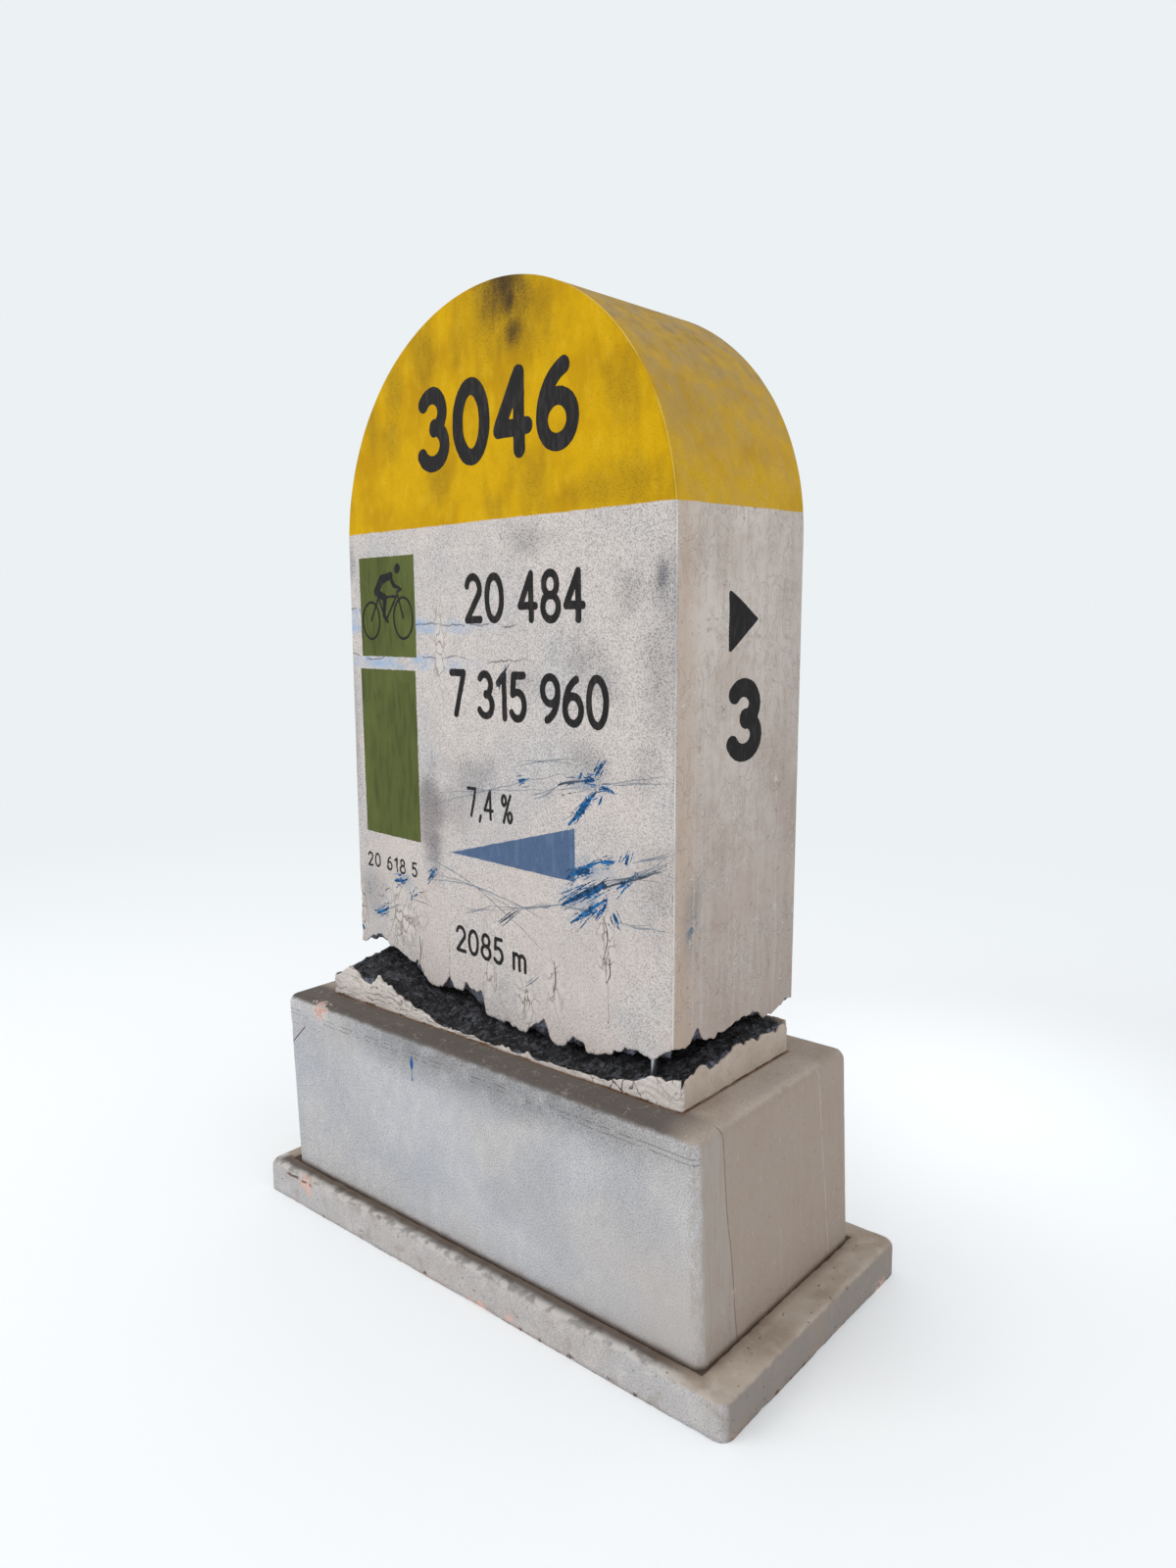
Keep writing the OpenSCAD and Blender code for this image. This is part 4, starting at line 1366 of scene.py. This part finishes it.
# Folds of the crumpled coat, each as start, bend, end and width
COAT_FOLDS = (
    ((-195, 295), (-180, 296), (-183, 284), 1.6), ((-199, 277), (-188, 274), (-187, 256), 2),
    ((-195, 277), (-199, 263), (-194, 252), 1.8), ((-143, 257), (-147, 243), (-127, 235), 3),
    ((-134, 258), (-136, 244), (-114, 235), 3.4), ((-125, 259), (-127, 246), (-112, 238), 3),
    ((-116, 261), (-117, 249), (-107, 240), 2.8), ((-103, 258), (-99, 248), (-105, 231), 3.4),
    ((-125, 271), (-115, 267), (-108, 262), 2.6), ((-122, 272), (-112, 272), (-103, 270), 2.2),
    ((-126, 281), (-108, 283), (-106, 267), 3.4), ((-111, 291), (-97, 293), (-83, 290), 4),
    ((-103, 298), (-93, 297), (-89, 290), 2.8), ((-111, 293), (-105, 300), (-90, 302), 3),
    ((-100, 281), (-86, 281), (-96, 267), 4.2), ((-133, 276), (-131, 270), (-121, 274), 1.8),
    ((-157, 291), (-152, 297), (-146, 294), 1.8), ((-169, 288), (-166, 284), (-159, 286), 1.6),
    ((134, 322), (140, 306), (133, 290), 1.8), ((138, 296), (143, 284), (136, 272), 1.6),
    ((40, 246), (47, 236), (42, 224), 2.4), ((78, 276), (83, 264), (77, 250), 2),
    ((82, 252), (88, 246), (84, 236), 1.8), ((2, 256), (7, 244), (3, 232), 1.4),
)


def bent_line(shape, count):
    """Places along a curve from the first point to the last, bent by the middle one, and their shares."""
    t = np.linspace(0, 1, count)
    start, bend, end = np.array(shape, float)[:, None]
    share = t[:, None]
    return start * (1 - share) ** 2 + 2 * bend * share * (1 - share) + end * share**2, t


def swell(t, reach, start, power):
    """Width along a stroke, 1 in its middle and less at its ends."""
    return np.sin(math.pi * np.clip(t * reach + start, 0, 1)) ** power


def scuff_strokes(marks, strays, seed):
    """Tapering strokes for the marks, each with a few thin strays beside it."""
    rng = np.random.default_rng(seed)
    widest = HALF_W - SIDE_MARGIN
    strokes = []
    for *shape, width in marks:
        shape = np.array(shape, float)
        length = np.linalg.norm(shape[2] - shape[0])
        copies = [(shape, width * 0.85)]
        for _ in range(strays if length > 8 else 0):
            shift = rng.normal(0, 1, 2) * (width * 0.45 + 1.2)
            trim, turn = rng.uniform(0.3, 1.25), rng.normal(0, 0.16)
            turned = (shape - shape.mean(0)) @ np.array(((1, turn), (-turn, 1))) * trim
            copies.append((shape.mean(0) + turned + shift, rng.uniform(0.3, 0.8)))
        for points, thick in copies:
            line, t = bent_line(points, 9)
            line[:, 0] = np.clip(line[:, 0], -widest, widest)
            strokes.append((on_face(line), list(thick * swell(t, 0.8, 0.12, 0.8))))
    return strokes


def fold_strokes(folds):
    """Each fold as a thin brown strip of painted shade, and as a pale ridge that covers all but the shade's
    lower edge.
    """
    shades, ridges = [], []
    for *shape, width in folds:
        line, t = bent_line(shape, 11)
        widths = swell(t, 0.86, 0.07, 0.7)
        along = line[-1] - line[0]
        side = np.array((-along[1], along[0]))
        side = side / np.linalg.norm(side) * np.sign(side[1])
        shades.append((on_face(line), list(1.2 * widths)))
        ridges.append((on_face(line + side * (width / 2 + 0.2) * widths[:, None]), list(width * widths)))
    return shades, ridges


# Pieces

def block_place(low, high):
    return Matrix.Translation(middle_of(low, high) * MM)


coat = post_material()
upper_coat = make_object("upper_post_coat", *upper_coat_mesh(), UPPER_FRAME)
dress(upper_coat, coat, "post_coat", "upper_post")
upper_core = make_object("upper_post_core", *core_mesh(upper_field, UPPER_SEED, True, CAP_Z), UPPER_FRAME)
dress(upper_core, core_material("upper_break"), "break_black", "upper_post")
stub_coat = make_object("post_stub_coat", *stub_coat_mesh(), STUB_FRAME)
dress(stub_coat, stub_material(), "post_coat", "post_stub")
stub_core = make_object("post_stub_core", *core_mesh(stub_field, STUB_SEED, False, 0), STUB_FRAME)
dress(stub_core, core_material("stub_break"), "break_black", "post_stub")

pedestal_mesh = worn_block(
    PEDESTAL_LOW, PEDESTAL_HIGH, corner_r=9, edge_r=9, leans=PEDESTAL_LEANS,
    seed=61, foot_wear=0, chipping=0.1, step=4,
)
pedestal = make_object("pedestal_block", *pedestal_mesh, block_place(PEDESTAL_LOW, PEDESTAL_HIGH))
dress(pedestal, pedestal_material(), "pedestal_coat", "pedestal")
plinth_mesh = worn_block(
    PLINTH_LOW, PLINTH_HIGH, corner_r=11, edge_r=6, leans=NO_LEANS,
    seed=71, foot_wear=3, chipping=0.26, step=3.2,
)
plinth = make_object("plinth_slab", *plinth_mesh, block_place(PLINTH_LOW, PLINTH_HIGH))
dress(plinth, plinth_material(), "plinth_coat", "plinth")

steel_look = steel_material()
for rod in ("steel_rod_front", "steel_rod_left", "steel_rod_back"):
    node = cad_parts[rod]
    node.data.materials.clear()
    node.data.materials.append(steel_look)

coat_tree = ray_tree(upper_coat.data)

# Rows of figures, each as name, text, corners, pen width, spacing, cell and whether it is on the front
ROWS = (
    ("head_number", "3046", (-81, 661), (113, 728), 13, 0.30, 1.3, True),
    ("upper_row_number", "20 484", (-24, 538), (118, 578), 6, 0.28, 0.7, True),
    ("lower_row_number", "7 315 960", (-47, 461), (141, 501), 6, 0.27, 0.7, True),
    ("slope_number", "7,4 %", (-27, 378), (32, 404), 2.8, 0.26, 0.45, True),
    ("height_number", "2085 m", (-48, 257), (45, 281), 3.3, 0.28, 0.5, True),
    ("district_number", "20 618 5", (-183, 312), (-103, 326), 1.9, 0.38, 0.35, True),
    ("side_number", "3", (57 - HALF_D, 437), (98 - HALF_D, 498), 13.5, 0, 1.2, False),
)
black = sign_paint_material()
for name, text, low, high, pen, spacing, cell, on_front in ROWS:
    strokes = written(text, *on_face((low, high)), pen, spacing)
    dress(painted(name, strokes, cell, on_front), black, "sign_paint")
dress(painted("bicycle_sign", bicycle_strokes(), 0.6), black, "sign_paint")
arrow_tip = (90 - HALF_D, 540)
arrow = [(on_face([(59.5 - HALF_D, z), arrow_tip]), [4, 2]) for z in range(519, 561, 3)]
dress(painted("side_arrow", arrow, 1, False), black, "sign_paint")

# Scuffs, each as piece, marks, strays, seed, cell, raggedness, material and its deep and light colours
SCUFFS = (
    ("deep_scuffs", DEEP_SCUFFS, 10, 11, 0.38, 0.4, "scuff_blue", (22, 66, 108), (44, 108, 162)),
    ("fine_scratches", FINE_SCRATCHES, 2, 12, 0.3, 0.1, "scratch_grey", (120, 129, 141), (146, 150, 154)),
    ("dark_scratches", DARK_SCRATCHES, 4, 13, 0.34, 0.3, "scratch_dark", (46, 58, 74), (84, 92, 104)),
)
for name, marks, strays, seed, cell, ragged, look, deep, light in SCUFFS:
    piece = painted(name, scuff_strokes(marks, strays, seed), cell, ragged=ragged, shake=0.8)
    dress(piece, scuff_material(look, deep, light), "sign_paint")
shades, ridges = fold_strokes(COAT_FOLDS)
# the folds' brown strips are painted shade, laid under the pale ridges of coat
shade_piece = painted("fold_shades", shades, 0.4, ragged=0.15, shake=0.8, lift=SHADE_LIFT)
dress(shade_piece, scuff_material("fold_painted_shade", (76, 68, 64), (116, 104, 97)), "post_coat")
fold_piece = painted("coat_folds", ridges, 0.5, ragged=0.3, shake=0.8, lift=FOLD_LIFT)
dress(fold_piece, coat, "post_coat")

# Stage, in metres

BACKDROP = linear((236, 241, 243))
FLOOR_SIZE = 24
FLOOR_COLOUR = (0.915, 0.935, 0.95, 1)
FLOOR_LIFT = (0.098, 0.104, 0.108, 1)
SHADOW_MIDDLE = (0.2, 0.44, 0)
SHADOW_REACH = 0.48
SHADOW_LIFT = 3.2
SKY_COLOUR = (0.97, 0.985, 1, 1)
SKY_STRENGTH = 0.78
FLOOR_NEAR, FLOOR_FAR = 0.45, 2.4


def show(block, kind, make_shader):
    """Gives a material or world the shader that make_shader(tree) builds, and nothing else."""
    block.use_nodes = True
    tree = block.node_tree
    tree.nodes.clear()
    output = tree.nodes.new("ShaderNodeOutput" + kind)
    tree.links.new(make_shader(tree).socket, output.inputs["Surface"])


def floor_shader(tree):
    """A pale floor that fades into the backdrop, and glows a little behind the post, in the key's shadow."""
    place = add_node(tree, "TexCoord", {}, "Object")
    far = add_node(tree, "VectorMath", {0: place}, "Value", operation="LENGTH")
    from_shadow = add_node(tree, "VectorMath", {0: place, 1: SHADOW_MIDDLE}, "Value", operation="DISTANCE")
    strength = fade(from_shadow, SHADOW_REACH, 0) * (SHADOW_LIFT - 1) + 1
    lift = add_node(tree, "Emission", {"Color": FLOOR_LIFT, "Strength": strength})
    diffuse = add_node(tree, "BsdfDiffuse", {"Color": FLOOR_COLOUR})
    both = add_node(tree, "AddShader", {0: diffuse, 1: lift})
    backdrop = add_node(tree, "Emission", {"Color": BACKDROP})
    return add_node(tree, "MixShader", {0: fade(far, FLOOR_NEAR, FLOOR_FAR), 1: both, 2: backdrop})


def make_floor():
    bpy.ops.mesh.primitive_plane_add(size=FLOOR_SIZE, location=(0, 0, 0))
    floor = bpy.context.object
    floor.name = "floor"
    material = bpy.data.materials.new("floor")
    show(material, "Material", floor_shader)
    floor.data.materials.append(material)
    floor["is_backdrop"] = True


def world_shader(tree):
    """Soft white light, with the backdrop where the camera or a reflection sees the sky itself."""
    light = add_node(tree, "Background", {"Color": SKY_COLOUR, "Strength": SKY_STRENGTH})
    seen = add_node(tree, "Background", {"Color": BACKDROP})
    kinds = ("Camera", "Glossy", "Transmission")
    rays = peak(*(add_node(tree, "LightPath", {}, f"Is {kind} Ray") for kind in kinds))
    return add_node(tree, "MixShader", {0: rays, 1: light, 2: seen})


def make_lamp(name, place, aim, size, power, colour):
    lamp = bpy.data.lights.new(name, "AREA")
    lamp.shape = "DISK"
    lamp.size = size
    lamp.energy = power
    lamp.color = colour
    turn = (Vector(aim) - Vector(place)).to_track_quat("-Z", "Y").to_matrix()
    add_object(name, lamp, Matrix.Translation(place) @ turn.to_4x4())


def make_camera():
    """The camera stands where the photograph was taken from, with a 24 mm equivalent lens."""
    place = Vector((614.5, -671.7, 541.4)) * MM
    yaw, pitch, roll = math.radians(-40.6), math.radians(8.67), math.radians(-0.53)
    focal_px, long_side_px = 1108.5, 1600
    ahead = Vector((math.sin(yaw) * math.cos(pitch), math.cos(yaw) * math.cos(pitch), -math.sin(pitch)))
    right = Vector((math.cos(yaw), -math.sin(yaw), 0))
    up = right.cross(ahead)
    rolled_right = right * math.cos(roll) + up * math.sin(roll)
    rolled_up = up * math.cos(roll) - right * math.sin(roll)
    turn = Matrix((rolled_right, rolled_up, -ahead)).transposed()
    data = bpy.data.cameras.new("camera")
    data.sensor_width = 36
    data.lens = focal_px / long_side_px * data.sensor_width
    data.clip_start = 0.01
    bpy.context.scene.camera = add_object("camera", data, Matrix.Translation(place) @ turn.to_4x4())


make_camera()
make_floor()
world = bpy.data.worlds.new("studio")
show(world, "World", world_shader)
bpy.context.scene.world = world
AIM = (0, 0, 0.35)
make_lamp("key", (-1.4, -2.2, 2.2), AIM, size=2.2, power=30, colour=(1, 0.99, 0.97))
make_lamp("fill", (2.4, -0.6, 1.6), AIM, size=2, power=5, colour=(1, 0.97, 0.94))
bpy.context.scene.view_settings.view_transform = "Standard"

low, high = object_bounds()
